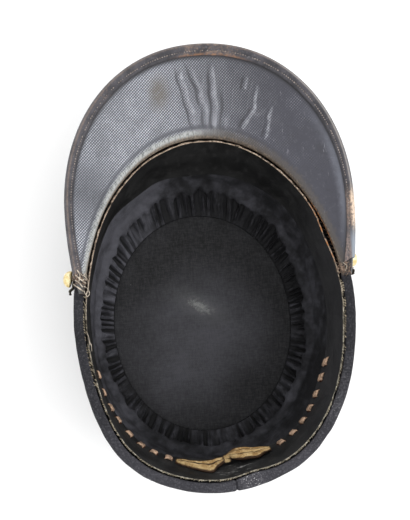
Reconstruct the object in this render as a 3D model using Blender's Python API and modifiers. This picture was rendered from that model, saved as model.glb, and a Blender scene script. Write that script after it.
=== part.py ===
"""A kepi cap, lying upside down on its flat crown with its hollow open to the sky.

Metres, +Z up. The origin is the middle of the crown top's outer face, which rests on the ground.
The peak points along +Y. Left is -X and right is +X, as the cap lies with its peak away from the viewer.
A bearing is an angle in degrees round the cap: 0 is the front, 90 the right side and 180 the back.
An inset is a distance in from the outer face of the crown's side, square to the wall's outline.
"""

import math

import bmesh
import bpy
from mathutils import Vector

# Fit between neighbouring pieces
CLEARANCE = 0.0003

# Outline of the crown side's outer face at the tip and at the rim
TIP_HALF_WIDTH = 0.0670
TIP_HALF_LENGTH = 0.0795
RIM_HALF_WIDTH = 0.0778
RIM_FRONT_REACH = 0.1048
RIM_BACK_REACH = 0.0973
RIM_SHIFT_X = 0.0006
RIM_SHIFT_Y = 0.0030
TIP_FULLNESS = 2.05
RIM_FRONT_FULLNESS = 2.0
RIM_BACK_FULLNESS = 2.1

# Height of the rim over the ground, which is the depth of the cap
FRONT_HEIGHT = 0.0800
BACK_HEIGHT = 0.1210

# Cloth and leather thicknesses
TIP_THICKNESS = 0.0024
CROWN_CLOTH = 0.0018
BAND_CLOTH = 0.0018
TURNED_CLOTH = 0.0014
LINING_CLOTH = 0.0009
TIP_LINING_CLOTH = 0.0011
SWEATBAND_LEATHER = 0.0012
PEAK_LEATHER = 0.0024
BINDING_LEATHER = 0.0009
STRAP_LEATHER = 0.0012

# Crown top
TIP_SEAM_OVERHANG = 0.0007
TIP_EDGE_ROUND = 0.0008

# Band round the rim
BAND_WIDTH = 0.0340
BAND_TURN_IN = 0.0090
CROWN_EDGE_DROP = 0.0024
RIM_ROUND = 0.0012

# Sweatband
SWEATBAND_WIDTH = 0.0380
SWEATBAND_DROP = 0.0008

# Lining
LINING_TOP_DROP = 0.0300
TIP_LINING_HALF_WIDTH = 0.0533
TIP_LINING_HALF_LENGTH = 0.0646
GATHER_HEIGHT = 0.0190
GATHER_RELIEF = 0.0024
GATHER_COUNT = 45

# Peak
PEAK_HALF_WIDTH = 0.0810
PEAK_FRONT_REACH = 0.0930
PEAK_SHIFT_X = 0.0020
PEAK_CENTRE_Y = 0.0620
PEAK_END_Y = 0.0190
PEAK_END_TAPER = 0.0040
PEAK_FULLNESS = 2.1
PEAK_END_BEARING = 78.0
PEAK_SLOPE_ANGLE = 24.0
PEAK_SIDE_SHARE = 0.784
PEAK_CREASED_SHARE = 0.28
PEAK_END_THINNING_SHARE = 0.5
BINDING_WIDTH = 0.0052
BINDING_END_SHARE = 0.955

# Facets
WALL_FACETS = 60
GATHER_FACETS = 4
PEAK_SIDE_FACETS = 14
PEAK_FRONT_FACETS = 26

# Chin strap and its two buttons, which sit on a corner between two facets of the wall
STRAP_WIDTH = 0.0120
STRAP_DROP = 0.0100
STRAP_TAIL_FLAT_ANGLE = 3.6
STRAP_TAIL_END_ANGLE = 7.6
STRAP_TAIL_LIFT = 0.0026
BUTTON_CORNER = 12
BUTTON_BEARING = BUTTON_CORNER * 360 / WALL_FACETS
BUTTON_RADIUS = 0.0047
BUTTON_DOME = 0.0030
BUTTON_BACK = 0.0014
SHANK_RADIUS = 0.0011

# Bow of sweatband ribbon, at the back
BOW_HALF_SPAN = 0.0285
BOW_HALF_WIDTH = 0.0052
BOW_HALF_THICKNESS = 0.0016
BOW_TILT_ANGLE = 50.0
BOW_BEARING = 180.0

# How far the wall has spread from the tip outline to the rim outline, between the tip and the band:
# share of the height up to the band, share of the spread
CROWN_PROFILE = (
    (0.00, 0.00),
    (0.55, 0.46),
    (1.00, 0.84),
)

# The same behind the band: drop below the rim, share of the spread
BAND_PROFILE = (
    (0.0, 0.965),
    (STRAP_DROP - STRAP_WIDTH / 2, 1.000),
    (STRAP_DROP + STRAP_WIDTH / 2, 0.950),
    (BAND_WIDTH, CROWN_PROFILE[-1][1]),
)

# Dents and swellings of the rim: bearing, spread in degrees, depth as a share of RIM_HALF_WIDTH
RIM_DENTS = (
    (110.0, 24.0, -0.014),
    (168.0, 10.0, -0.009),
    (217.0, 22.0, 0.058),
    (292.0, 22.0, -0.010),
)

# Lean of the sweatband's free edge off the wall: bearing, share of SWEATBAND_WIDTH
SWEATBAND_LEAN = (
    (0.0, 0.245),
    (45.0, 0.09),
    (90.0, 0.06),
    (120.0, 0.05),
    (145.0, 0.07),
    (155.0, 0.11),
    (168.0, 0.20),
    (190.0, 0.18),
    (225.0, 0.02),
    (315.0, 0.02),
    (338.0, 0.15),
)

# Section of the gathered ring, wall to tip: share of the way in, share of GATHER_HEIGHT, share of relief
GATHER_SECTION = (
    (0.00, 1.00, 0.15),
    (0.30, 0.52, 0.90),
    (0.66, 0.20, 1.00),
    (1.00, 0.06, 0.25),
)

# Bend in the hidden back of the gathered ring: share of the way in, share of GATHER_HEIGHT
GATHER_BACK_BEND = (0.45, 0.28)

# Section of the peak, rim to outer edge: share of the width, rise over the straight line as a share of it,
# share of the creases' depth
PEAK_SECTION = (
    (0.00, 0.000, 0.0),
    (0.07, 0.012, 0.4),
    (0.30, -0.006, 1.0),
    (0.62, -0.010, 1.0),
    (0.88, -0.004, 0.3),
    (1.00, 0.000, 0.0),
)

# Creases that run across the peak: place from -1 at its left end to 1 at its right, spread, height
PEAK_CREASES = (
    (-0.150, 0.030, 0.0005),
    (-0.085, 0.024, -0.0005),
    (-0.040, 0.024, 0.0006),
    (0.030, 0.022, -0.0010),
    (0.066, 0.022, 0.0009),
    (0.165, 0.024, 0.0007),
    (0.232, 0.024, 0.0005),
)

# Sections of the bow: shares of BOW_HALF_SPAN, BOW_HALF_WIDTH and BOW_HALF_THICKNESS,
# and how far down the sweatband it lies, as a share of SWEATBAND_WIDTH
BOW_SECTIONS = (
    (-1.00, 0.20, 0.40, 0.66),
    (-0.75, 0.62, 0.80, 0.54),
    (-0.40, 1.00, 1.00, 0.46),
    (-0.12, 0.85, 1.00, 0.50),
    (0.06, 0.42, 1.10, 0.62),
    (0.17, 0.36, 1.30, 0.68),
    (0.28, 0.62, 1.10, 0.70),
    (0.55, 0.80, 0.90, 0.68),
    (0.82, 0.55, 0.70, 0.76),
    (1.00, 0.20, 0.40, 0.88),
)


def mix(a, b, share):
    return a + (b - a) * share


def smooth(share):
    return share * share * (3 - 2 * share)


def angle_between(a, b):
    """Signed difference of two bearings, from -180 to 180."""
    return (a - b + 180) % 360 - 180


def along_table(rows, place):
    """Second column of a table, read smoothly at a place in its first column."""
    for before, after in zip(rows, rows[1:]):
        if place <= after[0]:
            share = (place - before[0]) / (after[0] - before[0])
            return mix(before[1], after[1], max(0.0, share))
    return rows[-1][1]


def round_table(rows, bearing):
    """Second column of a table whose first column is a bearing, read smoothly all the way round."""
    closed = (*rows, (rows[0][0] + 360, rows[0][1]))
    place = (bearing - rows[0][0]) % 360 + rows[0][0]
    for before, after in zip(closed, closed[1:]):
        if place <= after[0]:
            share = (place - before[0]) / (after[0] - before[0])
            return mix(before[1], after[1], smooth(share))
    return rows[0][1]


def oval(bearing, half_width, reach, fullness):
    """Point of an oval round the origin: half_width across and reach along, at a bearing."""
    across = math.sin(math.radians(bearing))
    along = math.cos(math.radians(bearing))
    radius = (abs(across / half_width) ** fullness + abs(along / reach) ** fullness) ** (-1 / fullness)
    return Vector((across * radius, along * radius))


def tip_outline(bearing):
    return oval(bearing, TIP_HALF_WIDTH, TIP_HALF_LENGTH, TIP_FULLNESS)


def rim_outline(bearing):
    """The rim in plan: an egg with a longer front, and the dents of an old soft cap."""
    if math.cos(math.radians(bearing)) > 0:
        point = oval(bearing, RIM_HALF_WIDTH, RIM_FRONT_REACH, RIM_FRONT_FULLNESS)
    else:
        point = oval(bearing, RIM_HALF_WIDTH, RIM_BACK_REACH, RIM_BACK_FULLNESS)
    swelling = 0.0
    for middle, spread, depth in RIM_DENTS:
        swelling += depth * math.exp(-((angle_between(bearing, middle) / spread) ** 2))
    point *= 1 + swelling
    return point + Vector((RIM_SHIFT_X, RIM_SHIFT_Y))


def rim_plane(y):
    """Height of the rim's plane over the ground. The back of the cap is deeper than its front."""
    front_y = RIM_SHIFT_Y + RIM_FRONT_REACH
    back_y = RIM_SHIFT_Y - RIM_BACK_REACH
    return mix(FRONT_HEIGHT, BACK_HEIGHT, (front_y - y) / (front_y - back_y))


def rim_height(bearing):
    return rim_plane(rim_outline(bearing).y)


def wall_spread(bearing, height):
    """How far the wall has spread from the tip outline to the rim outline, as a share."""
    drop = rim_height(bearing) - height
    if drop <= BAND_WIDTH:
        return along_table(BAND_PROFILE, drop)
    return along_table(CROWN_PROFILE, height / (rim_height(bearing) - BAND_WIDTH))


def wall_plan(bearing, share):
    return tip_outline(bearing).lerp(rim_outline(bearing), share)


def wall_normal(bearing, share):
    """Direction square to the wall's outline in plan, pointing out."""
    step = 0.5
    tangent = wall_plan(bearing + step, share) - wall_plan(bearing - step, share)
    return Vector((-tangent.y, tangent.x)).normalized()


def wall_point(bearing, height, inset):
    """Point at a height over the ground, an inset in from the crown side's outer face."""
    share = wall_spread(bearing, height)
    plan = wall_plan(bearing, share) - wall_normal(bearing, share) * inset
    return Vector((plan.x, plan.y, height))


def wall_outward(bearing, height):
    normal = wall_normal(bearing, wall_spread(bearing, height))
    return Vector((normal.x, normal.y, 0.0))


def bearings(count):
    return [360 * i / count for i in range(count)]


def spread(start, end, count):
    return [mix(start, end, i / (count - 1)) for i in range(count)]


def loft(sections, closed):
    """Skin over closed sections of equal length. An open row of sections gets a cap at each end."""
    shell = bmesh.new()
    rings = [[shell.verts.new(point) for point in section] for section in sections]
    pairs = list(zip(rings, rings[1:] + rings[:1])) if closed else list(zip(rings, rings[1:]))
    for one, other in pairs:
        size = len(one)
        for i in range(size):
            j = (i + 1) % size
            shell.faces.new((one[i], one[j], other[j], other[i]))
    if not closed:
        shell.faces.new(rings[0])
        shell.faces.new(rings[-1])
    bmesh.ops.recalc_face_normals(shell, faces=shell.faces)
    return shell


def make_object(name, shell, material, collection):
    """Turns a bmesh into a smooth-shaded object with sharp creases kept."""
    mesh = bpy.data.meshes.new(name)
    shell.to_mesh(mesh)
    shell.free()
    mesh.shade_smooth()
    mesh.set_sharp_from_angle(angle=math.radians(40))
    mesh.materials.append(material)
    made = bpy.data.objects.new(name, mesh)
    collection.objects.link(made)
    return made


def make_material(name, colour, roughness, metallic=0.0):
    material = bpy.data.materials.new(name)
    material.use_nodes = True
    shader = material.node_tree.nodes["Principled BSDF"]
    shader.inputs["Base Color"].default_value = (*colour, 1.0)
    shader.inputs["Roughness"].default_value = roughness
    shader.inputs["Metallic"].default_value = metallic
    return material


def crown_top(material, collection):
    """Cloth-covered disc that closes the crown. Its rounded edge stands out as the seam round the tip."""
    rows = (
        (TIP_EDGE_ROUND, 0.0),
        (-TIP_SEAM_OVERHANG, TIP_EDGE_ROUND),
        (-TIP_SEAM_OVERHANG, TIP_THICKNESS - TIP_EDGE_ROUND),
        (TIP_EDGE_ROUND, TIP_THICKNESS),
    )
    sections = []
    for inset, height in rows:
        ring = []
        for bearing in bearings(WALL_FACETS):
            plan = tip_outline(bearing) - wall_normal(bearing, 0.0) * inset
            ring.append(Vector((plan.x, plan.y, height)))
        sections.append(ring)
    return make_object("crown_top", loft(sections, closed=False), material, collection)


def tip_lining(material, collection):
    """Flat oval of lining cloth inside the tip."""
    bottom = TIP_THICKNESS + CLEARANCE
    edge = TIP_LINING_CLOTH / 3
    rows = (
        (edge, bottom),
        (0.0, bottom + edge),
        (0.0, bottom + TIP_LINING_CLOTH - edge),
        (edge, bottom + TIP_LINING_CLOTH),
    )
    sections = []
    for inset, height in rows:
        ring = []
        for bearing in bearings(WALL_FACETS):
            plan = oval(bearing, TIP_LINING_HALF_WIDTH - inset, TIP_LINING_HALF_LENGTH - inset, TIP_FULLNESS)
            ring.append(Vector((plan.x, plan.y, height)))
        sections.append(ring)
    return make_object("tip_lining", loft(sections, closed=False), material, collection)


def crown_side(material, collection):
    """Tapered cloth wall between the tip and the rim."""
    bottom = TIP_THICKNESS + CLEARANCE
    sections = []
    for bearing in bearings(WALL_FACETS):
        rim = rim_height(bearing)
        heights = [bottom]
        heights += [share * (rim - BAND_WIDTH) for share, _ in CROWN_PROFILE[1:]]
        heights += [rim - drop for drop, _ in BAND_PROFILE[-2:0:-1]]
        heights += [rim - CROWN_EDGE_DROP]
        outer = [wall_point(bearing, height, 0.0) for height in heights]
        inner = [wall_point(bearing, height, CROWN_CLOTH) for height in reversed(heights)]
        sections.append(outer + inner)
    return make_object("crown_side", loft(sections, closed=True), material, collection)


def band(material, collection):
    """Cloth band round the rim, folded over the edge of the crown side and turned in."""
    outside = -(CLEARANCE + BAND_CLOTH)
    turned_face = CROWN_CLOTH + CLEARANCE
    inside = turned_face + TURNED_CLOTH
    channel_drop = CROWN_EDGE_DROP - CLEARANCE
    section = (
        (-CLEARANCE, BAND_WIDTH),
        (outside, BAND_WIDTH),
        (outside, STRAP_DROP + STRAP_WIDTH / 2),
        (outside, STRAP_DROP - STRAP_WIDTH / 2),
        (outside, RIM_ROUND * 1.6),
        (outside + RIM_ROUND, 0.0),
        (inside - RIM_ROUND, 0.0),
        (inside, RIM_ROUND * 1.6),
        (inside, BAND_TURN_IN),
        (turned_face, BAND_TURN_IN),
        (turned_face, channel_drop),
        (-CLEARANCE, channel_drop),
        (-CLEARANCE, STRAP_DROP - STRAP_WIDTH / 2),
        (-CLEARANCE, STRAP_DROP + STRAP_WIDTH / 2),
    )
    sections = []
    for bearing in bearings(WALL_FACETS):
        height = rim_height(bearing)
        sections.append([wall_point(bearing, height - drop, inset) for inset, drop in section])
    return make_object("band", loft(sections, closed=True), material, collection)


def sweatband_face(bearing, drop):
    """Inset of the sweatband's inner face, which leans off the wall towards its free edge."""
    seam = CROWN_CLOTH + CLEARANCE + TURNED_CLOTH + CLEARANCE + SWEATBAND_LEATHER
    share = (drop - SWEATBAND_DROP) / SWEATBAND_WIDTH
    return seam + round_table(SWEATBAND_LEAN, bearing) * SWEATBAND_WIDTH * share


def sweatband(material, collection):
    """Leather strip sewn inside the rim, with its free edge standing off the wall."""
    sections = []
    for bearing in bearings(WALL_FACETS):
        height = rim_height(bearing)
        drops = [SWEATBAND_DROP + SWEATBAND_WIDTH * share for share in (0.0, 0.35, 0.7, 1.0)]
        inner = [wall_point(bearing, height - drop, sweatband_face(bearing, drop)) for drop in drops]
        outer = [
            wall_point(bearing, height - drop, sweatband_face(bearing, drop) - SWEATBAND_LEATHER)
            for drop in reversed(drops)
        ]
        sections.append(inner + outer)
    return make_object("sweatband", loft(sections, closed=True), material, collection)


def gather(bearing):
    """Fold of the gathered lining, from 0 in a valley to 1 on a ridge, with uneven spacing and depth."""
    turn = math.radians(bearing)
    phase = GATHER_COUNT * turn + 0.8 * math.sin(3 * turn) + 0.6 * math.sin(7 * turn + 1.0)
    depth = 0.75 + 0.25 * math.sin(5 * turn + 0.7)
    return depth * (0.5 + 0.5 * math.cos(phase))


def side_lining(material, collection):
    """Lining of the wall, gathered in folds onto the edge of the tip lining."""
    wall_inset = CROWN_CLOTH + CLEARANCE
    floor = TIP_THICKNESS + CLEARANCE
    sections = []
    for bearing in bearings(GATHER_COUNT * GATHER_FACETS):
        tip_edge = oval(
            bearing, TIP_LINING_HALF_WIDTH + CLEARANCE, TIP_LINING_HALF_LENGTH + CLEARANCE, TIP_FULLNESS
        )
        top = wall_point(bearing, rim_height(bearing) - LINING_TOP_DROP, wall_inset)
        start = wall_point(bearing, GATHER_HEIGHT, wall_inset)
        end = Vector((tip_edge.x, tip_edge.y, floor))
        outward = wall_outward(bearing, GATHER_HEIGHT)
        face = [top - outward * LINING_CLOTH]
        for way_in, height, relief in GATHER_SECTION:
            plan = start.lerp(end, way_in)
            base = Vector((plan.x, plan.y, mix(floor, GATHER_HEIGHT, height)))
            lift = LINING_CLOTH + GATHER_RELIEF * relief * gather(bearing)
            direction = (Vector((0.0, 0.0, way_in)) - outward * (1 - way_in)).normalized()
            face.append(base + direction * lift)
        bend = start.lerp(end, GATHER_BACK_BEND[0])
        bend.z = mix(floor, GATHER_HEIGHT, GATHER_BACK_BEND[1])
        end.z = mix(floor, GATHER_HEIGHT, GATHER_SECTION[-1][1])
        sections.append([top, start, bend, end] + face[::-1])
    return make_object("side_lining", loft(sections, closed=True), material, collection)


def peak_edge(place):
    """Outer edge of the peak in plan, from -1 at its left end over the front to 1 at its right end."""
    side = math.copysign(1.0, place)
    share = abs(place)
    if share <= PEAK_SIDE_SHARE:
        turn = math.radians(90 * share / PEAK_SIDE_SHARE)
        across = PEAK_HALF_WIDTH * math.sin(turn) ** (2 / PEAK_FULLNESS)
        y = PEAK_CENTRE_Y + PEAK_FRONT_REACH * math.cos(turn) ** (2 / PEAK_FULLNESS)
    else:
        run = (share - PEAK_SIDE_SHARE) / (1 - PEAK_SIDE_SHARE)
        across = PEAK_HALF_WIDTH - PEAK_END_TAPER * run * run
        y = mix(PEAK_CENTRE_Y, PEAK_END_Y, run)
    return Vector((PEAK_SHIFT_X + side * across, y))


def peak_seat(place):
    """Inner edge of the peak: it lies on the rim, flush with the inside of the turned-in band."""
    bearing = PEAK_END_BEARING * place
    inset = CROWN_CLOTH + CLEARANCE + TURNED_CLOTH
    return wall_point(bearing, rim_height(bearing), inset) + Vector((0.0, 0.0, CLEARANCE))


def peak_places(end):
    """Places of the peak's sections, closer together over its creased front."""
    creased = spread(-PEAK_CREASED_SHARE, PEAK_CREASED_SHARE, PEAK_FRONT_FACETS + 1)
    side = spread(PEAK_CREASED_SHARE, end, PEAK_SIDE_FACETS + 1)[1:]
    return [-place for place in reversed(side)] + creased + side


def peak_crease(place):
    return sum(
        height * math.exp(-(((place - middle) / (spread_by / 2)) ** 2))
        for middle, spread_by, height in PEAK_CREASES
    )


def peak_thickness(place):
    """Thickness of the peak's leather, pared down at its two ends."""
    run = max(0.0, (abs(place) - BINDING_END_SHARE) / (1 - BINDING_END_SHARE))
    return PEAK_LEATHER * (1 - PEAK_END_THINNING_SHARE * run)


def peak_point(place, share, crown=0.0):
    """Point on the peak's worn-upper face, a share of the way from the rim to the outer edge."""
    seat = peak_seat(place)
    edge = peak_edge(place)
    width = (edge - seat.xy).length
    rise = width * math.tan(math.radians(PEAK_SLOPE_ANGLE))
    outer = Vector((edge.x, edge.y, rim_plane(edge.y) + CLEARANCE + rise))
    return seat.lerp(outer, share) + Vector((0.0, 0.0, crown * width))


def peak_up(place):
    """Direction square to the peak's surface, pointing up as the cap lies."""
    step = 0.01
    low, high = max(-1.0, place - step), min(1.0, place + step)
    along = peak_point(high, 0.6) - peak_point(low, 0.6)
    across = peak_point(place, 1.0) - peak_point(place, 0.0)
    up = along.cross(across)
    return (up if up.z > 0 else -up).normalized()


def peak(material, collection):
    """Leather crescent that lies on the front of the rim and slopes away from it."""
    sections = []
    for place in peak_places(1.0):
        up = peak_up(place)
        lower = []
        upper = []
        for share, crown, crease in PEAK_SECTION:
            point = peak_point(place, share, crown) + up * peak_crease(place) * crease
            lower.append(point)
            upper.append(point + up * peak_thickness(place))
        sections.append(lower + upper[::-1])
    return make_object("peak", loft(sections, closed=False), material, collection)


def peak_binding(material, collection):
    """Leather strip folded round the peak's outer edge."""
    sections = []
    for place in peak_places(BINDING_END_SHARE):
        up = peak_up(place)
        edge = peak_point(place, 1.0)
        inward = (peak_point(place, *PEAK_SECTION[-2][:2]) - edge).normalized()
        bearing = PEAK_END_BEARING * place
        band_face = wall_point(bearing, rim_height(bearing), -(CLEARANCE + BAND_CLOTH))
        overhang = (edge.xy - band_face.xy).length
        upper_leg = min(BINDING_WIDTH, 0.75 * overhang + 2 * BINDING_LEATHER)
        lower_leg = min(BINDING_WIDTH, 0.45 * overhang)
        inner_low = -CLEARANCE
        inner_high = PEAK_LEATHER + CLEARANCE
        outer_low = inner_low - BINDING_LEATHER
        outer_high = inner_high + BINDING_LEATHER
        section = (
            (lower_leg, inner_low),
            (-CLEARANCE, inner_low),
            (-CLEARANCE, inner_high),
            (upper_leg, inner_high),
            (upper_leg, outer_high),
            (-CLEARANCE, outer_high),
            (-CLEARANCE - BINDING_LEATHER, inner_high),
            (-CLEARANCE - BINDING_LEATHER, inner_low),
            (-CLEARANCE, outer_low),
            (lower_leg, outer_low),
        )
        sections.append([edge + inward * along + up * above for along, above in section])
    return make_object("peak_binding", loft(sections, closed=False), material, collection)


def strap_height(bearing):
    return rim_height(bearing) - STRAP_DROP


def chin_strap(material, collection):
    """Leather strap over the front of the band, with a short tail past each button."""
    back_face = -(CLEARANCE + BAND_CLOTH + CLEARANCE)
    flat_end = BUTTON_BEARING + STRAP_TAIL_FLAT_ANGLE
    end = BUTTON_BEARING + STRAP_TAIL_END_ANGLE
    corners = spread(-BUTTON_BEARING, BUTTON_BEARING, 2 * BUTTON_CORNER + 1)
    half = STRAP_WIDTH / 2
    sections = []
    for bearing in [-end, -flat_end, *corners, flat_end, end]:
        lift = STRAP_TAIL_LIFT if abs(bearing) == end else 0.0
        middle = strap_height(bearing)
        rows = (
            (back_face - lift, -half),
            (back_face - lift - STRAP_LEATHER, -half),
            (back_face - lift - STRAP_LEATHER, half),
            (back_face - lift, half),
        )
        sections.append([wall_point(bearing, middle + rise, inset) for inset, rise in rows])
    return make_object("chin_strap", loft(sections, closed=False), material, collection)


def turned(name, profile, steps, collection):
    """Solid of revolution round +Z, from a profile that runs from its top down its outer side."""
    shell = bmesh.new()
    corners = [shell.verts.new((radius, 0.0, height)) for radius, height in profile]
    for one, other in zip(corners, corners[1:]):
        shell.edges.new((one, other))
    mesh = bpy.data.meshes.new(name)
    shell.to_mesh(mesh)
    shell.free()
    made = bpy.data.objects.new(name, mesh)
    collection.objects.link(made)
    screw = made.modifiers.new("turn", "SCREW")
    screw.axis = "Z"
    screw.steps = steps
    screw.render_steps = steps
    screw.use_merge_vertices = True
    screw.merge_threshold = 0.00002
    return made


def seat_on_band(made, bearing):
    """Turns a piece made along +Z to point straight out of the strap at a bearing."""
    height = strap_height(bearing)
    face = -(CLEARANCE + BAND_CLOTH + CLEARANCE + STRAP_LEATHER + CLEARANCE)
    made.location = wall_point(bearing, height, face)
    made.rotation_mode = "QUATERNION"
    made.rotation_quaternion = wall_outward(bearing, height).to_track_quat("Z", "Y")


def shank_length():
    """From the back of a button, through strap, band and crown side, to just inside the wall."""
    return CLEARANCE + STRAP_LEATHER + CLEARANCE + BAND_CLOTH + CLEARANCE + CROWN_CLOTH + CLEARANCE


def side_button(name, bearing, material, collection):
    """Domed metal button whose shank goes through the strap and the wall."""
    dome = [
        (BUTTON_RADIUS * math.sin(turn), BUTTON_BACK + BUTTON_DOME * math.cos(turn))
        for turn in (math.radians(90 * i / 5) for i in range(6))
    ]
    back = [
        (BUTTON_RADIUS * 0.80, BUTTON_BACK * 0.25),
        (BUTTON_RADIUS * 0.45, 0.0),
        (SHANK_RADIUS, 0.0),
        (SHANK_RADIUS, -shank_length()),
        (0.0, -shank_length()),
    ]
    made = turned(name, [(0.0, dome[0][1])] + dome[1:] + back, 14, collection)
    made.data.shade_smooth()
    made.data.materials.append(material)
    seat_on_band(made, bearing)
    return made


def shank_cutter(name, bearing, collection):
    """Cutter for the holes that a button's shank goes through."""
    radius = SHANK_RADIUS + CLEARANCE
    reach = 2 * shank_length()
    profile = [(0.0, reach), (radius, reach), (radius, -reach), (0.0, -reach)]
    made = turned(name, profile, 12, collection)
    seat_on_band(made, bearing)
    made.hide_render = True
    made.display_type = "WIRE"
    return made


def drill(made, cutters):
    for cutter in cutters:
        hole = made.modifiers.new("hole", "BOOLEAN")
        hole.operation = "DIFFERENCE"
        hole.solver = "EXACT"
        hole.object = cutter


def ribbon_bow(material, collection):
    """Small tied bow on the sweatband at the back, its loops standing out and pinched at the knot."""
    corners = 8
    radius = wall_plan(BOW_BEARING, 1.0).length
    tilt = math.radians(BOW_TILT_ANGLE)
    sections = []
    for place, width, thickness, down in BOW_SECTIONS:
        bearing = BOW_BEARING - math.degrees(place * BOW_HALF_SPAN / radius)
        half_width = BOW_HALF_WIDTH * width
        half_thickness = BOW_HALF_THICKNESS * thickness
        reach = math.hypot(half_width * math.sin(tilt), half_thickness * math.cos(tilt))
        ring = []
        for corner in range(corners):
            turn = 2 * math.pi * corner / corners
            along = half_width * math.cos(turn)
            across = half_thickness * math.sin(turn)
            drop = down * SWEATBAND_WIDTH + along * math.cos(tilt) - across * math.sin(tilt)
            stand = CLEARANCE + reach + along * math.sin(tilt) + across * math.cos(tilt)
            inset = sweatband_face(bearing, drop) + stand
            ring.append(wall_point(bearing, rim_height(bearing) - drop, inset))
        sections.append(ring)
    return make_object("ribbon_bow", loft(sections, closed=False), material, collection)


def new_collection(name):
    collection = bpy.data.collections.new(name)
    bpy.context.scene.collection.children.link(collection)
    return collection


def main():
    for leftover in list(bpy.data.objects):
        bpy.data.objects.remove(leftover)
    cap = new_collection("kepi_cap")
    cutters = new_collection("cutters")

    wool = make_material("blue_black_wool", (0.035, 0.037, 0.050), 0.95)
    sateen = make_material("black_sateen", (0.028, 0.028, 0.032), 0.75)
    cotton = make_material("charcoal_cotton", (0.040, 0.040, 0.045), 0.90)
    black_leather = make_material("black_leather", (0.022, 0.022, 0.022), 0.55)
    peak_leather = make_material("grained_peak_leather", (0.110, 0.115, 0.125), 0.45)
    bound_leather = make_material("worn_binding_leather", (0.080, 0.070, 0.065), 0.50)
    ribbon = make_material("tan_ribbon", (0.480, 0.330, 0.160), 0.80)
    brass = make_material("gilt_brass", (0.800, 0.640, 0.330), 0.30, metallic=1.0)

    shanks = [
        shank_cutter("shank_cutter_left", -BUTTON_BEARING, cutters),
        shank_cutter("shank_cutter_right", BUTTON_BEARING, cutters),
    ]

    crown_top(wool, cap)
    drill(crown_side(wool, cap), shanks)
    drill(band(wool, cap), shanks)
    sweatband(black_leather, cap)
    side_lining(sateen, cap)
    tip_lining(cotton, cap)
    peak(peak_leather, cap)
    peak_binding(bound_leather, cap)
    drill(chin_strap(black_leather, cap), shanks)
    side_button("side_button_left", -BUTTON_BEARING, brass, cap)
    side_button("side_button_right", BUTTON_BEARING, brass, cap)
    ribbon_bow(ribbon, cap)


main()
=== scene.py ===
"""The looks of an old kepi cap that lies upside down on its flat crown, seen from above.

Metres, +Z up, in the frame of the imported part: the origin is the middle of the crown top's outer face,
and the peak points along +Y. A bearing is an angle in degrees round the cap: 0 is the front, 90 the
right side and 180 the back. An inset is a distance in from the outer face of the crown's side.
"""

import functools
import math
import random

import bmesh
import bpy
import numpy as np
from mathutils import Matrix, Vector, noise
from mathutils.bvhtree import BVHTree


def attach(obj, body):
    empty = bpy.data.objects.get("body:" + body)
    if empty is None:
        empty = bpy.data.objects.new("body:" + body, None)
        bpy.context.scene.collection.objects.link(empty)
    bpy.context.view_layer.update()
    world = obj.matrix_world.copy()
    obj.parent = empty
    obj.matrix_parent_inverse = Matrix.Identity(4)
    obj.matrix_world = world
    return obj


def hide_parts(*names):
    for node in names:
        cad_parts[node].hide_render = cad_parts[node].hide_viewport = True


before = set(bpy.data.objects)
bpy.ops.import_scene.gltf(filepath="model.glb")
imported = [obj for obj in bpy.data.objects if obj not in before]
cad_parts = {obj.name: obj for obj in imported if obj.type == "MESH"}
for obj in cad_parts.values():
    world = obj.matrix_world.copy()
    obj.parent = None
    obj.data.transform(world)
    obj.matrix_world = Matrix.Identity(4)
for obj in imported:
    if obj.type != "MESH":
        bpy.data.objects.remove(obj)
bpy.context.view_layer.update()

# Fit and thicknesses, as the part has them
CLEARANCE = 0.0003
TIP_THICKNESS = 0.0024
CROWN_CLOTH = 0.0018
BAND_CLOTH = 0.0018
TURNED_CLOTH = 0.0014
LINING_CLOTH = 0.0009
TIP_LINING_CLOTH = 0.0011
SWEATBAND_LEATHER = 0.0012
PEAK_LEATHER = 0.0024
BINDING_LEATHER = 0.0009
STRAP_LEATHER = 0.0012

# Outline and height of the wall
TIP_HALF_WIDTH = 0.0670
TIP_HALF_LENGTH = 0.0795
TIP_FULLNESS = 2.05
TIP_SEAM_OVERHANG = 0.0007
RIM_HALF_WIDTH = 0.0778
RIM_FRONT_REACH = 0.1048
RIM_BACK_REACH = 0.0973
RIM_SHIFT = Vector((0.0006, 0.0030))
RIM_FRONT_FULLNESS = 2.0
RIM_BACK_FULLNESS = 2.1
FRONT_HEIGHT = 0.0800
BACK_HEIGHT = 0.1210

# Band, sweatband, lining
BAND_WIDTH = 0.0340
BAND_TURN_IN = 0.0090
CROWN_EDGE_DROP = 0.0024
RIM_ROUND = 0.0012
SWEATBAND_WIDTH = 0.0380
SWEATBAND_DROP = 0.0008
LINING_TOP_DROP = 0.0300
TIP_LINING_HALF_WIDTH = 0.0533
TIP_LINING_HALF_LENGTH = 0.0646
GATHER_HEIGHT = 0.0190

# Peak
PEAK_HALF_WIDTH = 0.0810
PEAK_FRONT_REACH = 0.0930
PEAK_SHIFT_X = 0.0020
PEAK_CENTRE_Y = 0.0620
PEAK_END_Y = 0.0190
PEAK_END_TAPER = 0.0040
PEAK_FULLNESS = 2.1
PEAK_END_BEARING = 78.0
PEAK_SLOPE_ANGLE = 24.0
PEAK_SIDE_SHARE = 0.784
PEAK_END_THINNING_SHARE = 0.5
BINDING_WIDTH = 0.0052
BINDING_END_SHARE = 0.955

# Strap, buttons and bow
STRAP_WIDTH = 0.0120
STRAP_DROP = 0.0100
STRAP_TAIL_FLAT_ANGLE = 3.6
STRAP_TAIL_END_ANGLE = 7.6
STRAP_TAIL_LIFT = 0.0026
STRAP_TAIL_WORN_ANGLE = 1.3
BUTTON_BEARING = 72.0
BUTTON_RADIUS = 0.0047
BUTTON_DOME = 0.0030
BUTTON_BACK = 0.0014
BUTTON_FULLNESS = 1.25
SHANK_RADIUS = 0.0011

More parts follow.
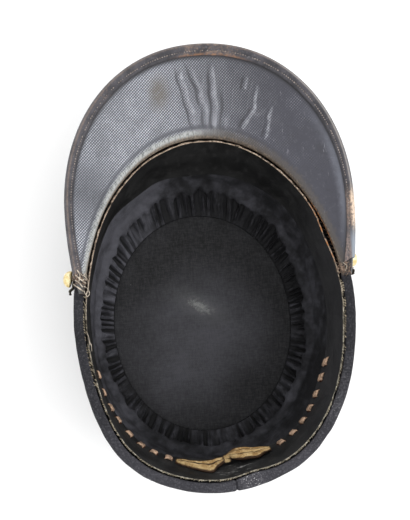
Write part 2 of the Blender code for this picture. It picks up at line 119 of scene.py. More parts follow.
# Share of the height up to the band, share of the spread from the tip outline to the rim outline
CROWN_PROFILE = ((0.00, 0.00), (0.55, 0.46), (1.00, 0.84))

# Drop below the rim, share of the same spread
BAND_PROFILE = ((0.0, 0.965), (0.004, 1.000), (0.016, 0.950), (BAND_WIDTH, 0.84))

# Bearing, spread in degrees, depth as a share of the rim's size
RIM_DENTS = ((110.0, 24.0, -0.014), (168.0, 10.0, -0.009), (217.0, 22.0, 0.058), (292.0, 22.0, -0.010))

# Bearing, lean of the sweatband's free edge off the wall as a share of its width
SWEATBAND_LEAN = (
    (0.0, 0.245), (45.0, 0.09), (90.0, 0.06), (112.0, 0.06), (125.0, 0.10), (145.0, 0.09), (155.0, 0.12),
    (168.0, 0.20), (190.0, 0.18), (204.0, 0.13), (221.0, 0.085), (240.0, 0.02), (315.0, 0.02), (338.0, 0.15),
)

# Gathered ring, wall to tip: share of the way in, share of GATHER_HEIGHT, share of the relief
GATHER_SECTION = ((0.00, 1.00, 0.15), (0.30, 0.52, 0.90), (0.66, 0.20, 1.00), (1.00, 0.06, 0.25))

# Peak, rim to outer edge: share of the width, rise as a share of it, share of the creases' depth
PEAK_SECTION = (
    (0.00, 0.000, 0.0), (0.07, 0.012, 0.4), (0.30, -0.006, 1.0),
    (0.62, -0.010, 1.0), (0.88, -0.004, 0.3), (1.00, 0.000, 0.0),
)

# Folds of the peak's leather: one end and other end in plan, half width, height. Below 0 is a groove.
PEAK_FOLDS = (
    ((-0.0135, 0.1500), (-0.0037, 0.1083), 0.0009, -0.00038),
    ((-0.0102, 0.1500), (-0.0008, 0.1083), 0.0012, 0.00045),
    ((-0.0080, 0.1500), (-0.0003, 0.1310), 0.0010, -0.00036),
    ((-0.0052, 0.1500), (0.0024, 0.1310), 0.0011, 0.00038),
    ((-0.0005, 0.1330), (0.0033, 0.1090), 0.0009, -0.00038),
    ((0.0022, 0.1330), (0.0060, 0.1090), 0.0011, 0.00040),
    ((0.0072, 0.1480), (0.0072, 0.1084), 0.0010, -0.00045),
    ((0.0100, 0.1480), (0.0101, 0.1084), 0.0013, 0.00085),
    ((0.0140, 0.1300), (0.0130, 0.1080), 0.0010, -0.00030),
    ((0.0168, 0.1158), (0.0158, 0.1080), 0.0011, 0.00045),
    ((0.0298, 0.1370), (0.0283, 0.1293), 0.0010, 0.00055),
    ((0.0270, 0.1370), (0.0255, 0.1293), 0.0009, -0.00035),
    ((0.0363, 0.1319), (0.0330, 0.1180), 0.0010, 0.00060),
    ((0.0330, 0.1180), (0.0254, 0.1072), 0.0010, 0.00070),
    ((0.0305, 0.1190), (0.0228, 0.1078), 0.0009, -0.00040),
    ((0.0434, 0.1179), (0.0374, 0.1005), 0.0010, 0.00050),
    ((0.0408, 0.1185), (0.0348, 0.1015), 0.0009, -0.00035),
)
GRAIN_PITCH = 0.00118
PEAK_WRINKLE = 0.00026
PEAK_RIPPLE = 0.00030
PEAK_CUT_REACH = 0.0022
WELT_HEIGHT = 0.00085
WELT_WIDTH = 0.0054
WELT_GROOVE = 0.00030
STITCH_SINK = 0.00030
WRINKLE_MIDDLE = Vector((0.006, 0.045))

# Leaves of the bow: bearing, then drop and stand off the sweatband of the inner and of the outer edge
BOW_LEFT_LEAF = (
    (180.0, 0.0270, 0.0046, 0.0243, 0.0032), (183.5, 0.0262, 0.0047, 0.0190, 0.0022),
    (185.3, 0.0245, 0.0048, 0.0150, 0.0011), (190.0, 0.0250, 0.0036, 0.0170, 0.0008),
    (194.0, 0.0270, 0.0030, 0.0210, 0.0007), (197.0, 0.0290, 0.0026, 0.0240, 0.0006),
    (199.4, 0.0300, 0.0018, 0.0270, 0.0004),
)
BOW_RIGHT_LEAF = (
    (161.0, 0.0290, 0.0020, 0.0255, 0.0013), (163.8, 0.0298, 0.0031, 0.0228, 0.0017),
    (167.0, 0.0302, 0.0042, 0.0196, 0.0018), (171.2, 0.0312, 0.0062, 0.0194, 0.0030),
    (175.2, 0.0318, 0.0066, 0.0216, 0.0034), (178.2, 0.0298, 0.0056, 0.0242, 0.0039),
    (180.4, 0.0275, 0.0047, 0.0250, 0.0037),
)
BOW_CLOTH = 0.0006
BOW_SWELL = 0.0009
BOW_KNOT_BEARING = 179.2
BOW_KNOT_HALF_ANGLE = 1.7
BOW_KNOT_DROP = 0.0255
BOW_KNOT_STAND = 0.0040
BOW_KNOT_HALF_WIDTH = 0.0021
BOW_KNOT_HALF_DEPTH = 0.0010

# Name, table, creases along the leaf, depth of a crease
BOW_LEAVES = (
    ("bow_left", BOW_LEFT_LEAF, 1.5, 0.00035),
    ("bow_right", BOW_RIGHT_LEAF, 3.2, 0.00055),
)

# Steps of the finer meshes round the cap, along the peak and along the strap
TIP_STEPS = 240
WALL_STEPS = 480
RIM_STEPS = 900
PLEAT_STEPS = 1200
PEAK_STEPS = 700
STRAP_STEPS = 400

UP = Vector((0.0, 0.0, 1.0))
SHARP_ANGLE = 55.0
RAY_HEIGHT = 0.3
CROWN_WRINKLE = 0.0010
BACK_SEAM_BEARING = 178.4
BACK_SEAM_ANGLE = 0.40
SEAM_NOTCH_DROP = 0.0014
SEAM_NOTCH_SINK = 0.0007
SWEATBAND_RISE = 0.0021
SWEATBAND_WAVE = 0.0006
RAW_EDGE_ROUND = 0.0003
PLEAT_START = 0.24
PLEAT_COUNT = 86
PLEAT_RELIEF = 0.0032
LINING_RIPPLE = 0.0008
LINING_ROLL = 0.0014
BINDING_STITCH_LINE = 0.52
LINING_FLOOR = TIP_THICKNESS + CLEARANCE
COTTON_FACE = LINING_FLOOR + TIP_LINING_CLOTH
LINING_INSET = CROWN_CLOTH + CLEARANCE
PEAK_INSET = LINING_INSET + TURNED_CLOTH
SWEATBAND_SEAM = PEAK_INSET + CLEARANCE + SWEATBAND_LEATHER
BAND_FACE = -(CLEARANCE + BAND_CLOTH)

# Pale smudge on the tip lining, and its dust: place in plan, radius, fade, amount
COTTON_SMUDGE = (-0.0010, 0.0105)
COTTON_DUST = (
    (0.002, 0.000, 0.000, 0.050, 0.55), (-0.030, -0.010, 0.004, 0.034, 0.22),
    (0.026, -0.012, 0.004, 0.028, 0.09), (-0.006, -0.038, 0.004, 0.032, 0.28),
    (-0.024, -0.034, 0.006, 0.024, 0.24),
)

# Share of its clean colour that a thread keeps where it is soiled
THREAD_SOILING = 0.42

# Pitch or None for one at each point, size, slant in degrees, unevenness, share missing, seed
STITCHES = {
    "running_stitch": (0.00145, (0.00100, 0.00068, 0.00050), 0.0, 0.28, 0.16, 3),
    "whip_stitch": (0.0023, (0.0021, 0.00045, 0.0004), 62.0, 0.25, 0.12, 5),
    "overcast_stitch": (0.00145, (0.00130, 0.00050, 0.00042), 38.0, 0.35, 0.28, 8),
    "torn_stitch": (0.0040, (0.0027, 0.00048, 0.0005), 18.0, 0.5, 0.45, 9),
    "lace_bar": (None, (0.0044, 0.0058, 0.0009), 0.0, 0.10, 0.0, 2),
    "lace_slit": (None, (0.0009, 0.0058, 0.0012), 0.0, 0.15, 0.0, 4),
}

# Bars of the ribbon where it shows between the sweatband's slits
LACE_DROP = 0.0340
LACE_SLIT_OFF = 0.0023
LACE_FLATNESS = 7
LACE_ARCH = 0.9
LACE_BEARINGS = {
    "left": (247.5, 240.0, 233.5, 228.0, 221.0, 214.5, 208.5, 202.0),
    "right": (115.5, 122.5, 130.0, 136.5, 142.5, 149.0, 155.5),
}

# Loose threads: radius, and the places in plan that a thread passes, each with its rise off the cap
LOOSE_THREADS = (
    (0.00045, ((-0.0777, 0.0250, 0.0002), (-0.0752, 0.0226, 0.0006), (-0.0722, 0.0201, 0.0002))),
    (0.00040, ((-0.0768, 0.0272, 0.0002), (-0.0743, 0.0250, 0.0008), (-0.0726, 0.0225, 0.0003))),
    (0.00038, ((-0.0728, 0.0262, 0.0000), (-0.0711, 0.0272, 0.0006), (-0.0694, 0.0257, 0.0000))),
    (0.00042, ((-0.0764, 0.0297, 0.0002), (-0.0734, 0.0268, 0.0010), (-0.0706, 0.0246, 0.0004))),
    (0.00036, ((-0.0752, 0.0325, 0.0002), (-0.0738, 0.0295, 0.0006), (-0.0746, 0.0257, 0.0004))),
    (0.00030, (
        (-0.0718, 0.0291, 0.0004), (-0.0700, 0.0274, 0.0008), (-0.0694, 0.0246, 0.0010),
        (-0.0700, 0.0211, 0.0008), (-0.0712, 0.0186, 0.0006), (-0.0722, 0.0208, 0.0008),
    )),
    (0.00026, (
        (-0.0738, 0.0310, 0.0000), (-0.0722, 0.0290, 0.0010), (-0.0706, 0.0302, 0.0008),
        (-0.0696, 0.0283, 0.0000),
    )),
    (0.00026, (
        (-0.0722, 0.0232, 0.0002), (-0.0701, 0.0219, 0.0010), (-0.0691, 0.0190, 0.0008),
        (-0.0704, 0.0174, 0.0004), (-0.0717, 0.0196, 0.0004),
    )),
    (0.00022, ((-0.0722, -0.0030, 0.0000), (-0.0712, -0.0065, 0.0008), (-0.0712, -0.0100, 0.0002))),
    (0.00022, ((-0.0716, -0.0072, 0.0002), (-0.0704, -0.0100, 0.0007), (-0.0703, -0.0136, 0.0000))),
    (0.00025, ((0.0742, 0.0262, 0.0000), (0.0762, 0.0238, 0.0007), (0.0752, 0.0206, 0.0002))),
)

# Torn fibres: place in plan, direction as a bearing, how many, their length, how far they scatter
FRAY_SEED = 11
FRAYED_ENDS = (
    (0.0752, 0.0238, 190.0, 60, 0.0030, 0.0019),
    (-0.0742, 0.0280, 165.0, 50, 0.0030, 0.0020),
)


# Numbers and curves

def mix(a, b, share):
    return a + (b - a) * share


def smooth(share):
    share = min(max(share, 0.0), 1.0)
    return share * share * (3 - 2 * share)


def bump_at(place, middle, wide):
    """Bell of height 1 at middle."""
    return math.exp(-(((place - middle) / wide) ** 2))


def angle_between(a, b):
    return (a - b + 180) % 360 - 180


def beside_peak(bearing, beyond, fade):
    """1 in front, where the peak is, and 0 from an angle beyond each of its ends."""
    return smooth((PEAK_END_BEARING + beyond - abs(angle_between(bearing, 0))) / fade)


def along_table(rows, place):
    for before, after in zip(rows, rows[1:]):
        if place <= after[0]:
            share = (place - before[0]) / (after[0] - before[0])
            return mix(before[1], after[1], max(0.0, share))
    return rows[-1][1]


def round_table(rows, bearing):
    closed = (*rows, (rows[0][0] + 360, rows[0][1]))
    place = (bearing - rows[0][0]) % 360 + rows[0][0]
    for before, after in zip(closed, closed[1:]):
        if place <= after[0]:
            return mix(before[1], after[1], smooth((place - before[0]) / (after[0] - before[0])))
    return rows[0][1]


def curve_through(rows, place):
    """Columns after the first, read along a smooth curve through the rows of a table."""
    place = min(max(place, rows[0][0]), rows[-1][0])
    last = len(rows) - 1
    spot = max(i for i in range(last) if rows[i][0] <= place)
    width = rows[spot + 1][0] - rows[spot][0]
    share = (place - rows[spot][0]) / width
    near = [rows[min(max(spot + i, 0), last)] for i in (-1, 0, 1, 2)]
    values = []
    for column in range(1, len(rows[0])):
        a, b, c, d = (row[column] for row in near)
        slope_b = (c - a) / max(near[2][0] - near[0][0], 1e-9) * width
        slope_c = (d - b) / max(near[3][0] - near[1][0], 1e-9) * width
        s2, s3 = share * share, share ** 3
        values.append(
            b * (2 * s3 - 3 * s2 + 1) + slope_b * (s3 - 2 * s2 + share)
            + c * (3 * s2 - 2 * s3) + slope_c * (s3 - s2)
        )
    return values


def waver(*place, scale=1.0):
    """Smooth noise from about -1 to 1 that wavers once over each unit of its places times scale."""
    spot = [value * scale for value in place] + [0.0] * (3 - len(place))
    return noise.noise(Vector(spot))


def round_waver(bearing, other, turns, seed):
    """Smooth noise that closes on itself round the cap, with about this many waves in a turn."""
    turn = math.radians(bearing)
    radius = turns / 6.3
    return noise.noise(Vector((math.cos(turn) * radius + seed, math.sin(turn) * radius, other)))


# The wall of the cap

def oval(bearing, half_width, reach, fullness):
    """Place in plan of a bearing on an oval, the squarer the greater its fullness."""
    across = math.sin(math.radians(bearing))
    along = math.cos(math.radians(bearing))
    radius = (abs(across / half_width) ** fullness + abs(along / reach) ** fullness) ** (-1 / fullness)
    return Vector((across * radius, along * radius))


@functools.lru_cache(maxsize=None)
def tip_outline(bearing):
    return oval(bearing, TIP_HALF_WIDTH, TIP_HALF_LENGTH, TIP_FULLNESS)


@functools.lru_cache(maxsize=None)
def rim_outline(bearing):
    if math.cos(math.radians(bearing)) > 0:
        point = oval(bearing, RIM_HALF_WIDTH, RIM_FRONT_REACH, RIM_FRONT_FULLNESS)
    else:
        point = oval(bearing, RIM_HALF_WIDTH, RIM_BACK_REACH, RIM_BACK_FULLNESS)
    dents = sum(depth * bump_at(angle_between(bearing, at), 0, wide) for at, wide, depth in RIM_DENTS)
    return point * (1 + dents) + RIM_SHIFT


def rim_plane(y):
    front_y = RIM_SHIFT.y + RIM_FRONT_REACH
    back_y = RIM_SHIFT.y - RIM_BACK_REACH
    return mix(FRONT_HEIGHT, BACK_HEIGHT, (front_y - y) / (front_y - back_y))


def rim_height(bearing):
    return rim_plane(rim_outline(bearing).y)


def wall_spread(bearing, height):
    """Share of the spread from the tip outline to the rim outline at a height of the wall."""
    drop = rim_height(bearing) - height
    if drop <= BAND_WIDTH:
        return along_table(BAND_PROFILE, drop)
    return along_table(CROWN_PROFILE, height / (rim_height(bearing) - BAND_WIDTH))


def wall_plan(bearing, share):
    return tip_outline(bearing).lerp(rim_outline(bearing), share)


def wall_normal(bearing, share):
    tangent = wall_plan(bearing + 0.5, share) - wall_plan(bearing - 0.5, share)
    return Vector((-tangent.y, tangent.x)).normalized()


def wall_point(bearing, height, inset):
    share = wall_spread(bearing, height)
    plan = wall_plan(bearing, share) - wall_normal(bearing, share) * inset
    return raised(plan, height)


def rim_point(bearing, drop, inset):
    return wall_point(bearing, rim_height(bearing) - drop, inset)


def wall_outward(bearing, height):
    return wall_normal(bearing, wall_spread(bearing, height)).to_3d()


def bearings(count):
    return [360 * i / count for i in range(count)]


def spread(start, end, count):
    return [mix(start, end, i / (count - 1)) for i in range(count)]


def around(count):
    """Angles round a circle."""
    return spread(0.0, 2 * math.pi, count + 1)[:-1]


def raised(plan, height):
    return Vector((plan.x, plan.y, height))


def stroke(corners, step):
    """Points along a line through corners, no further apart than step."""
    points = [corners[0]]
    for one, other in zip(corners, corners[1:]):
        count = max(1, math.ceil(math.dist(one, other) / step))
        points += [tuple(mix(a, b, i / count) for a, b in zip(one, other)) for i in range(1, count + 1)]
    return points


# Meshes

def placed(name, data):
    """Object of a mesh, a camera or a light, in the scene."""
    made = bpy.data.objects.new(name, data)
    bpy.context.scene.collection.objects.link(made)
    return made


def skin(name, rows, materials, round_rows=False, round_points=False, capped=False, slot=None, marks=None):
    """Smooth mesh over rows of points, with a UV map in metres: along the rows and across them.

    Slot gives the material of the face at a row and a point. Marks are named rows of numbers, which
    the mesh carries at its points for its materials to read.
    """
    grid = np.array([[tuple(point) for point in row] for row in rows])
    count, size = grid.shape[:2]
    steps = np.linalg.norm(np.roll(grid, -1, 0) - grid, axis=2).mean(1)
    strides = np.linalg.norm(np.roll(grid, -1, 1) - grid, axis=2).mean(0)
    along = np.concatenate([[0.0], np.cumsum(steps)])
    across = np.concatenate([[0.0], np.cumsum(strides)])
    faces = []
    corners = []
    slots = []
    for i in range(count if round_rows else count - 1):
        for j in range(size if round_points else size - 1):
            ii, jj = (i + 1) % count, (j + 1) % size
            faces.append((i * size + j, i * size + jj, ii * size + jj, ii * size + j))
            corners += [(along[i], across[j]), (along[i], across[j + 1])]
            corners += [(along[i + 1], across[j + 1]), (along[i + 1], across[j])]
            slots.append(slot(i, j) if slot else 0)
    if capped:
        for i in (0, count - 1):
            faces.append([i * size + j for j in range(size)])
            corners += [(along[i], across[j]) for j in range(size)]
            slots.append(slots[-1])
    mesh = bpy.data.meshes.new(name)
    mesh.from_pydata(grid.reshape(-1, 3).tolist(), [], faces)
    layer = mesh.uv_layers.new(name="cloth")
    layer.data.foreach_set("uv", np.array(corners).ravel())
    mesh.polygons.foreach_set("material_index", slots)
    for mark, values in (marks or {}).items():
        kept = mesh.attributes.new(mark, "FLOAT", "POINT")
        kept.data.foreach_set("value", np.array(values, dtype=np.float32).ravel())
    for material in materials:
        mesh.materials.append(material)
    return settled(name, mesh)


def settled(name, mesh):
    """Object of a mesh with its doubles merged and its faces pointing out, shaded smooth."""
    shell = bmesh.new()
    shell.from_mesh(mesh)
    bmesh.ops.remove_doubles(shell, verts=shell.verts, dist=1e-6)
    bmesh.ops.recalc_face_normals(shell, faces=shell.faces)
    shell.to_mesh(mesh)
    shell.free()
    mesh.shade_smooth()
    mesh.set_sharp_from_angle(angle=math.radians(SHARP_ANGLE))
    return placed(name, mesh)


def joined(name, pieces):
    """One object of several, named anew."""
    shell = bmesh.new()
    for piece in pieces:
        shell.from_mesh(piece.data)
    mesh = pieces[0].data
    shell.to_mesh(mesh)
    shell.free()
    for piece in pieces[1:]:
        bpy.data.objects.remove(piece)
    pieces[0].name = name
    mesh.name = name
    return pieces[0]


def dress(piece, *nodes, slot):
    """The piece rides with the cap and takes the place of the part's plain solids. Its slot is not used."""
    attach(piece, "root")
    if nodes:
        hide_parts(*nodes)
    return piece


def resting_height(pieces):
    """Gives the height of the highest of some pieces over a place, and no less than the rim's."""
    graph = bpy.context.evaluated_depsgraph_get()
    trees = [BVHTree.FromObject(piece, graph) for piece in pieces]

    def height(x, y):
        hits = [tree.ray_cast(Vector((x, y, RAY_HEIGHT)), -UP)[0] for tree in trees]
        return max([rim_plane(y)] + [hit.z for hit in hits if hit])

    return height


# Finishes

class Signal:
    """A number, colour or vector that varies over a surface. Arithmetic on numbers adds Math nodes."""

    def __init__(self, work, socket):
        self.work = work
        self.socket = socket

    def maths(self, operation, *values):
        return self.work.node("ShaderNodeMath", {"operation": operation}, dict(enumerate(values)))

    def __add__(self, other):
        return self.maths("ADD", self, other)

    def __sub__(self, other):
        return self.maths("SUBTRACT", self, other)

    def __rsub__(self, other):
        return self.maths("SUBTRACT", other, self)

    def __mul__(self, other):
        return self.maths("MULTIPLY", self, other)

    def __pow__(self, other):
        return self.maths("POWER", self, other)

    def __abs__(self):
        return self.maths("ABSOLUTE", self)

    __radd__ = __add__
    __rmul__ = __mul__

    def sine(self):
        return self.maths("SINE", self)

    def most(self, other):
        return self.maths("MAXIMUM", self, other)


class NodeWork:
    """A node tree in the making."""

    def __init__(self, tree):
        self.tree = tree

    def node(self, kind, settings, values, output=0):
        made = self.tree.nodes.new(kind)
        for setting, value in settings.items():
            setattr(made, setting, value)
        for key, value in values.items():
            self.feed(made.inputs[key], value)
        return Signal(self, made.outputs[output])

    def feed(self, socket, value):
        if isinstance(value, Signal):
            self.tree.links.new(value.socket, socket)
        elif socket.type == "RGBA":
            socket.default_value = (*value, 1.0)
        else:
            socket.default_value = value


class Finish(NodeWork):
    """A material in the making. Patterns read the object's own metres unless another place is given.

    A tone is a displayed colour, three numbers from 0 to 255.
    """

    def __init__(self, name):
        self.material = bpy.data.materials.new(name)
        self.material.use_nodes = True
        super().__init__(self.material.node_tree)
        self.shader = self.tree.nodes["Principled BSDF"]
        self.here = self.node("ShaderNodeTexCoord", {}, {}, "Object")

    def cloth_map(self):
        """Place on the mesh's UV map, in metres along and across the cloth."""
        return self.node("ShaderNodeTexCoord", {}, {}, "UV")

    def mark(self, name):
        """A number that the mesh carries at its points."""
        return self.node("ShaderNodeAttribute", {"attribute_name": name}, {}, "Fac")

    def axis(self, name):
        return self.node("ShaderNodeSeparateXYZ", {}, {0: self.here}, name)

    def vector(self, operation, one, other, output=0):
        return self.node("ShaderNodeVectorMath", {"operation": operation}, {0: one, 1: other}, output)

    def stretched(self, shares, where=None):
        """A place with its axes multiplied, so that a pattern is drawn out along an axis."""
        return self.vector("MULTIPLY", where or self.here, shares)

    def noise(self, size, detail=3.0, roughness=0.55, bend=0.0, where=None, stretch=None):
        """Cloudy noise from 0 to 1 whose clouds are about size across, in metres."""
        where = where or self.here
        if stretch:
            where = self.stretched(stretch, where)
        values = {"Vector": where, "Scale": 1 / size, "Detail": detail, "Roughness": roughness}
        return self.node("ShaderNodeTexNoise", {}, {**values, "Distortion": bend})

    def cells(self, size, feature="F1"):
        values = {"Vector": self.here, "Scale": 1 / size}
        return self.node("ShaderNodeTexVoronoi", {"feature": feature}, values)

    def step(self, value, low, high, first=0.0, last=1.0):
        """Smooth step from first to last as value goes from low to high."""
        values = {"Value": value, "From Min": low, "From Max": high, "To Min": first, "To Max": last}
        return self.node("ShaderNodeMapRange", {"interpolation_type": "SMOOTHSTEP"}, values)

    def along(self, axis, low, high):
        return self.step(self.axis(axis), low, high)

    def spot(self, centre, radius, fade, where=None):
        """1 within radius of a point, fading to 0 over fade."""
        distance = self.vector("DISTANCE", where or self.here, centre, "Value")
        return self.step(distance, radius, radius + fade, 1.0, 0.0)

    def wave(self, direction, pitch, where=None):
        """Sine from -1 to 1 that repeats every pitch along a direction."""
        turn = Vector(direction).normalized() * (2 * math.pi / pitch)
        return self.vector("DOT_PRODUCT", where or self.here, tuple(turn), "Value").sine()

    def blend(self, share, first, second):
        """Colour between first and second, which are signals or tones."""
        tones = [tone if isinstance(tone, Signal) else shade(*tone) for tone in (first, second)]
        return self.node("ShaderNodeMix", {"data_type": "RGBA"}, {0: share, 6: tones[0], 7: tones[1]}, 2)

    def coats(self, colour, *layers):
        """Colour with layers laid over it in turn, each a share and a signal or tone."""
        for share, tone in layers:
            colour = self.blend(share, colour, tone)
        return colour

    def finished(self, colour, roughness, height=None, specular=None, metallic=None):
        """Connects the shader. Height is in metres; specular and metallic are the same all over."""
        self.feed(self.shader.inputs["Base Color"], colour)
        self.feed(self.shader.inputs["Roughness"], roughness)
        if height is not None:
            relief = self.node("ShaderNodeBump", {}, {"Strength": 1.0, "Distance": 1.0, "Height": height})
            self.feed(self.shader.inputs["Normal"], relief)
        for key, value in (("Specular IOR Level", specular), ("Metallic", metallic)):
            if value is not None:
                self.shader.inputs[key].default_value = value
        return self.material


class Growth(NodeWork):
    """A Geometry Nodes tree in the making, with named inputs."""

    def __init__(self, name, inputs):
        tree = bpy.data.node_groups.new(name, "GeometryNodeTree")
        for label, kind, value in inputs:
            socket = tree.interface.new_socket(label, in_out="INPUT", socket_type=kind)
            if value is not None:
                socket.default_value = value
        tree.interface.new_socket("Geometry", in_out="OUTPUT", socket_type="NodeSocketGeometry")
        super().__init__(tree)
        self.entry = tree.nodes.new("NodeGroupInput")

    def given(self, name):
        return Signal(self, self.entry.outputs[name])

    def chance(self, low, high, draw):
        """Random number for each point; each draw has numbers of its own."""
        values = {2: low, 3: high, 8: self.given("Seed") + draw}
        return self.node("FunctionNodeRandomValue", {"data_type": "FLOAT"}, values, 1)

    def result(self, geometry):
        self.feed(self.tree.nodes.new("NodeGroupOutput").inputs[0], geometry)
        return self.tree


def thread_bead(sewing):
    return sewing.node("GeometryNodeMeshUVSphere", {}, {"Segments": 8, "Rings": 5, "Radius": 0.5})


def lace_bar(sewing):
    """Flat bar of ribbon that stands a little off the leather between two slits."""
    sides = {"Size": (1.0, 1.0, 1.0), "Vertices X": 13, "Vertices Y": 4, "Vertices Z": 2}
    bar = sewing.node("GeometryNodeMeshCube", {}, sides)
    place = sewing.node("GeometryNodeInputPosition", {}, {})
    along = sewing.node("ShaderNodeSeparateXYZ", {}, {0: place}, "X")
    arch = (1 - abs(along * 2) ** LACE_FLATNESS) * LACE_ARCH
    rise = sewing.node("ShaderNodeCombineXYZ", {}, {"Z": arch})
    return sewing.node("GeometryNodeSetPosition", {}, {"Geometry": bar, "Offset": rise})


def sewing_tree(name, bead, spaced):
    """Stitches at the points of a route, or evenly spaced along it, each on the route's up side."""
    sewing = Growth(name, (
        ("Route", "NodeSocketGeometry", None),
        ("Pitch", "NodeSocketFloat", 0.002),
        ("Size", "NodeSocketVector", (0.002, 0.0005, 0.0005)),
        ("Slant", "NodeSocketFloat", 0.0),
        ("Unevenness", "NodeSocketFloat", 0.15),
        ("Missing", "NodeSocketFloat", 0.0),
        ("Seed", "NodeSocketInt", 0),
        ("Thread", "NodeSocketMaterial", None),
    ))
    uneven = sewing.given("Unevenness")
    route = sewing.node("GeometryNodeMeshToCurve", {}, {0: sewing.given("Route")})
    if spaced:
        values = {"Curve": route, "Length": sewing.given("Pitch")}
        route = sewing.node("GeometryNodeResampleCurve", {"mode": "LENGTH"}, values)
    up = sewing.node("GeometryNodeInputNamedAttribute", {"data_type": "FLOAT_VECTOR"}, {"Name": "up"})
    tangent = sewing.node("GeometryNodeInputTangent", {}, {})
    turned = sewing.node("FunctionNodeAlignRotationToVector", {"axis": "X"}, {"Vector": tangent})
    values = {"Rotation": turned, "Vector": up}
    turned = sewing.node("FunctionNodeAlignRotationToVector", {"axis": "Z", "pivot_axis": "X"}, values)
    slant = sewing.given("Slant") + sewing.chance(-1.0, 1.0, 1) * uneven
    slant = sewing.node("ShaderNodeCombineXYZ", {}, {"Z": slant})
    slant = sewing.node("FunctionNodeEulerToRotation", {}, {0: slant})
    turned = sewing.node("FunctionNodeRotateRotation", {"rotation_space": "LOCAL"}, {0: turned, 1: slant})
    values = {0: sewing.given("Size"), "Scale": sewing.chance(-1.0, 1.0, 2) * uneven + 1}
    size = sewing.node("ShaderNodeVectorMath", {"operation": "SCALE"}, values)
    keep = sewing.chance(0.0, 1.0, 3)
    values = {
        "Points": route, "Instance": bead(sewing), "Rotation": turned, "Scale": size,
        "Selection": keep.maths("GREATER_THAN", keep, sewing.given("Missing")),
    }
    stitches = sewing.node("GeometryNodeInstanceOnPoints", {}, values)
    stitches = sewing.node("GeometryNodeRealizeInstances", {}, {"Geometry": stitches})
    values = {"Geometry": stitches, "Material": sewing.given("Thread")}
    return sewing.result(sewing.node("GeometryNodeSetMaterial", {}, values))


def sewn(name, kind, routes, thread, bead=thread_bead):
    """Plain mesh of one kind of stitch along routes, which are lists of pairs of a point and its up side."""
    pitch, size, slant, unevenness, missing, seed = STITCHES[kind]
    tree = sewing_tree(kind, bead, pitch is not None)
    settings = {
        "Size": size, "Slant": math.radians(slant), "Unevenness": unevenness, "Missing": missing,
        "Seed": seed, "Thread": thread,
    }
    if pitch is not None:
        settings["Pitch"] = pitch
    edges = []
    start = 0
    for route in routes:
        edges += [(start + i, start + i + 1) for i in range(len(route) - 1)]
        start += len(route)
    mesh = bpy.data.meshes.new(name)
    mesh.from_pydata([point for route in routes for point, _ in route], edges, [])
    ups = [tuple(up) for route in routes for _, up in route]
    kept = mesh.attributes.new("up", "FLOAT_VECTOR", "POINT")
    kept.data.foreach_set("vector", np.array(ups, dtype=np.float32).ravel())
    made = placed(name, mesh)
    growth = made.modifiers.new("growth", "NODES")
    growth.node_group = tree
    for socket in tree.interface.items_tree:
        if socket.in_out == "INPUT" and socket.name in settings:
            growth[socket.identifier] = settings[socket.name]
    baked = bpy.data.meshes.new_from_object(made.evaluated_get(bpy.context.evaluated_depsgraph_get()))
    made.modifiers.remove(growth)
    made.data = baked
    baked.shade_smooth()
    return made


def shade(red, green, blue):
    """Linear colour of a displayed tone."""
    shares = (value / 255 for value in (red, green, blue))
    return tuple(c / 12.92 if c <= 0.04045 else ((c + 0.055) / 1.055) ** 2.4 for c in shares)


def wool_cloth():
    """Napped blue-black wool, rubbed paler where it is worn, with flecks of pale lint and painted light on
    the rim's top towards the back.
    """
    cloth = Finish("blue_black_wool")
    weave = cloth.cloth_map()
    clouds = cloth.noise(0.016, 4.0)
    nap = cloth.noise(0.0010, 4.0, 0.7)
    crackle = cloth.cells(0.0024, "DISTANCE_TO_EDGE")
    fibres = cloth.noise(0.00035, 2.0, 0.6, where=weave, stretch=(1.0, 0.35, 1.0))
    threads = cloth.wave((1.0, 1.0, 0.0), 0.0008, weave) * cloth.wave((1.0, -0.35, 0.0), 0.0009, weave)
    worn = cloth.spot((0.0115, -0.0912, 0.1205), 0.003, 0.009)
    worn = worn.most(cloth.spot((0.062, -0.045, 0.110), 0.004, 0.030) * 0.7)
    rim = cloth.along("Z", 0.086, 0.120)
    lint = cloth.step(cloth.noise(0.0007, 2.0, 0.5) + worn * 0.15, 0.78, 0.85)
    colour = cloth.coats(
        cloth.blend(cloth.step(clouds, 0.35, 0.7), (34, 34, 37), (44, 44, 48)),
        # Painted light: the top of the rim is painted paler towards the back
        (cloth.along("Y", -0.03, -0.085) * rim * 0.30, (74, 73, 79)),
        (cloth.step(nap + clouds * 0.10 + worn * 0.10 + rim * 0.04, 0.54, 0.84, 0.0, 0.55), (98, 97, 102)),
        (cloth.step(crackle, 0.0, 0.12, 0.30, 0.0), (18, 18, 20)),
        (lint * (0.25 + worn * 0.75), (204, 202, 202)),
    )
    height = nap * 0.0003 + fibres * 0.00012 + threads * 0.00003
    return cloth.finished(colour, 0.95, height, specular=0.12)


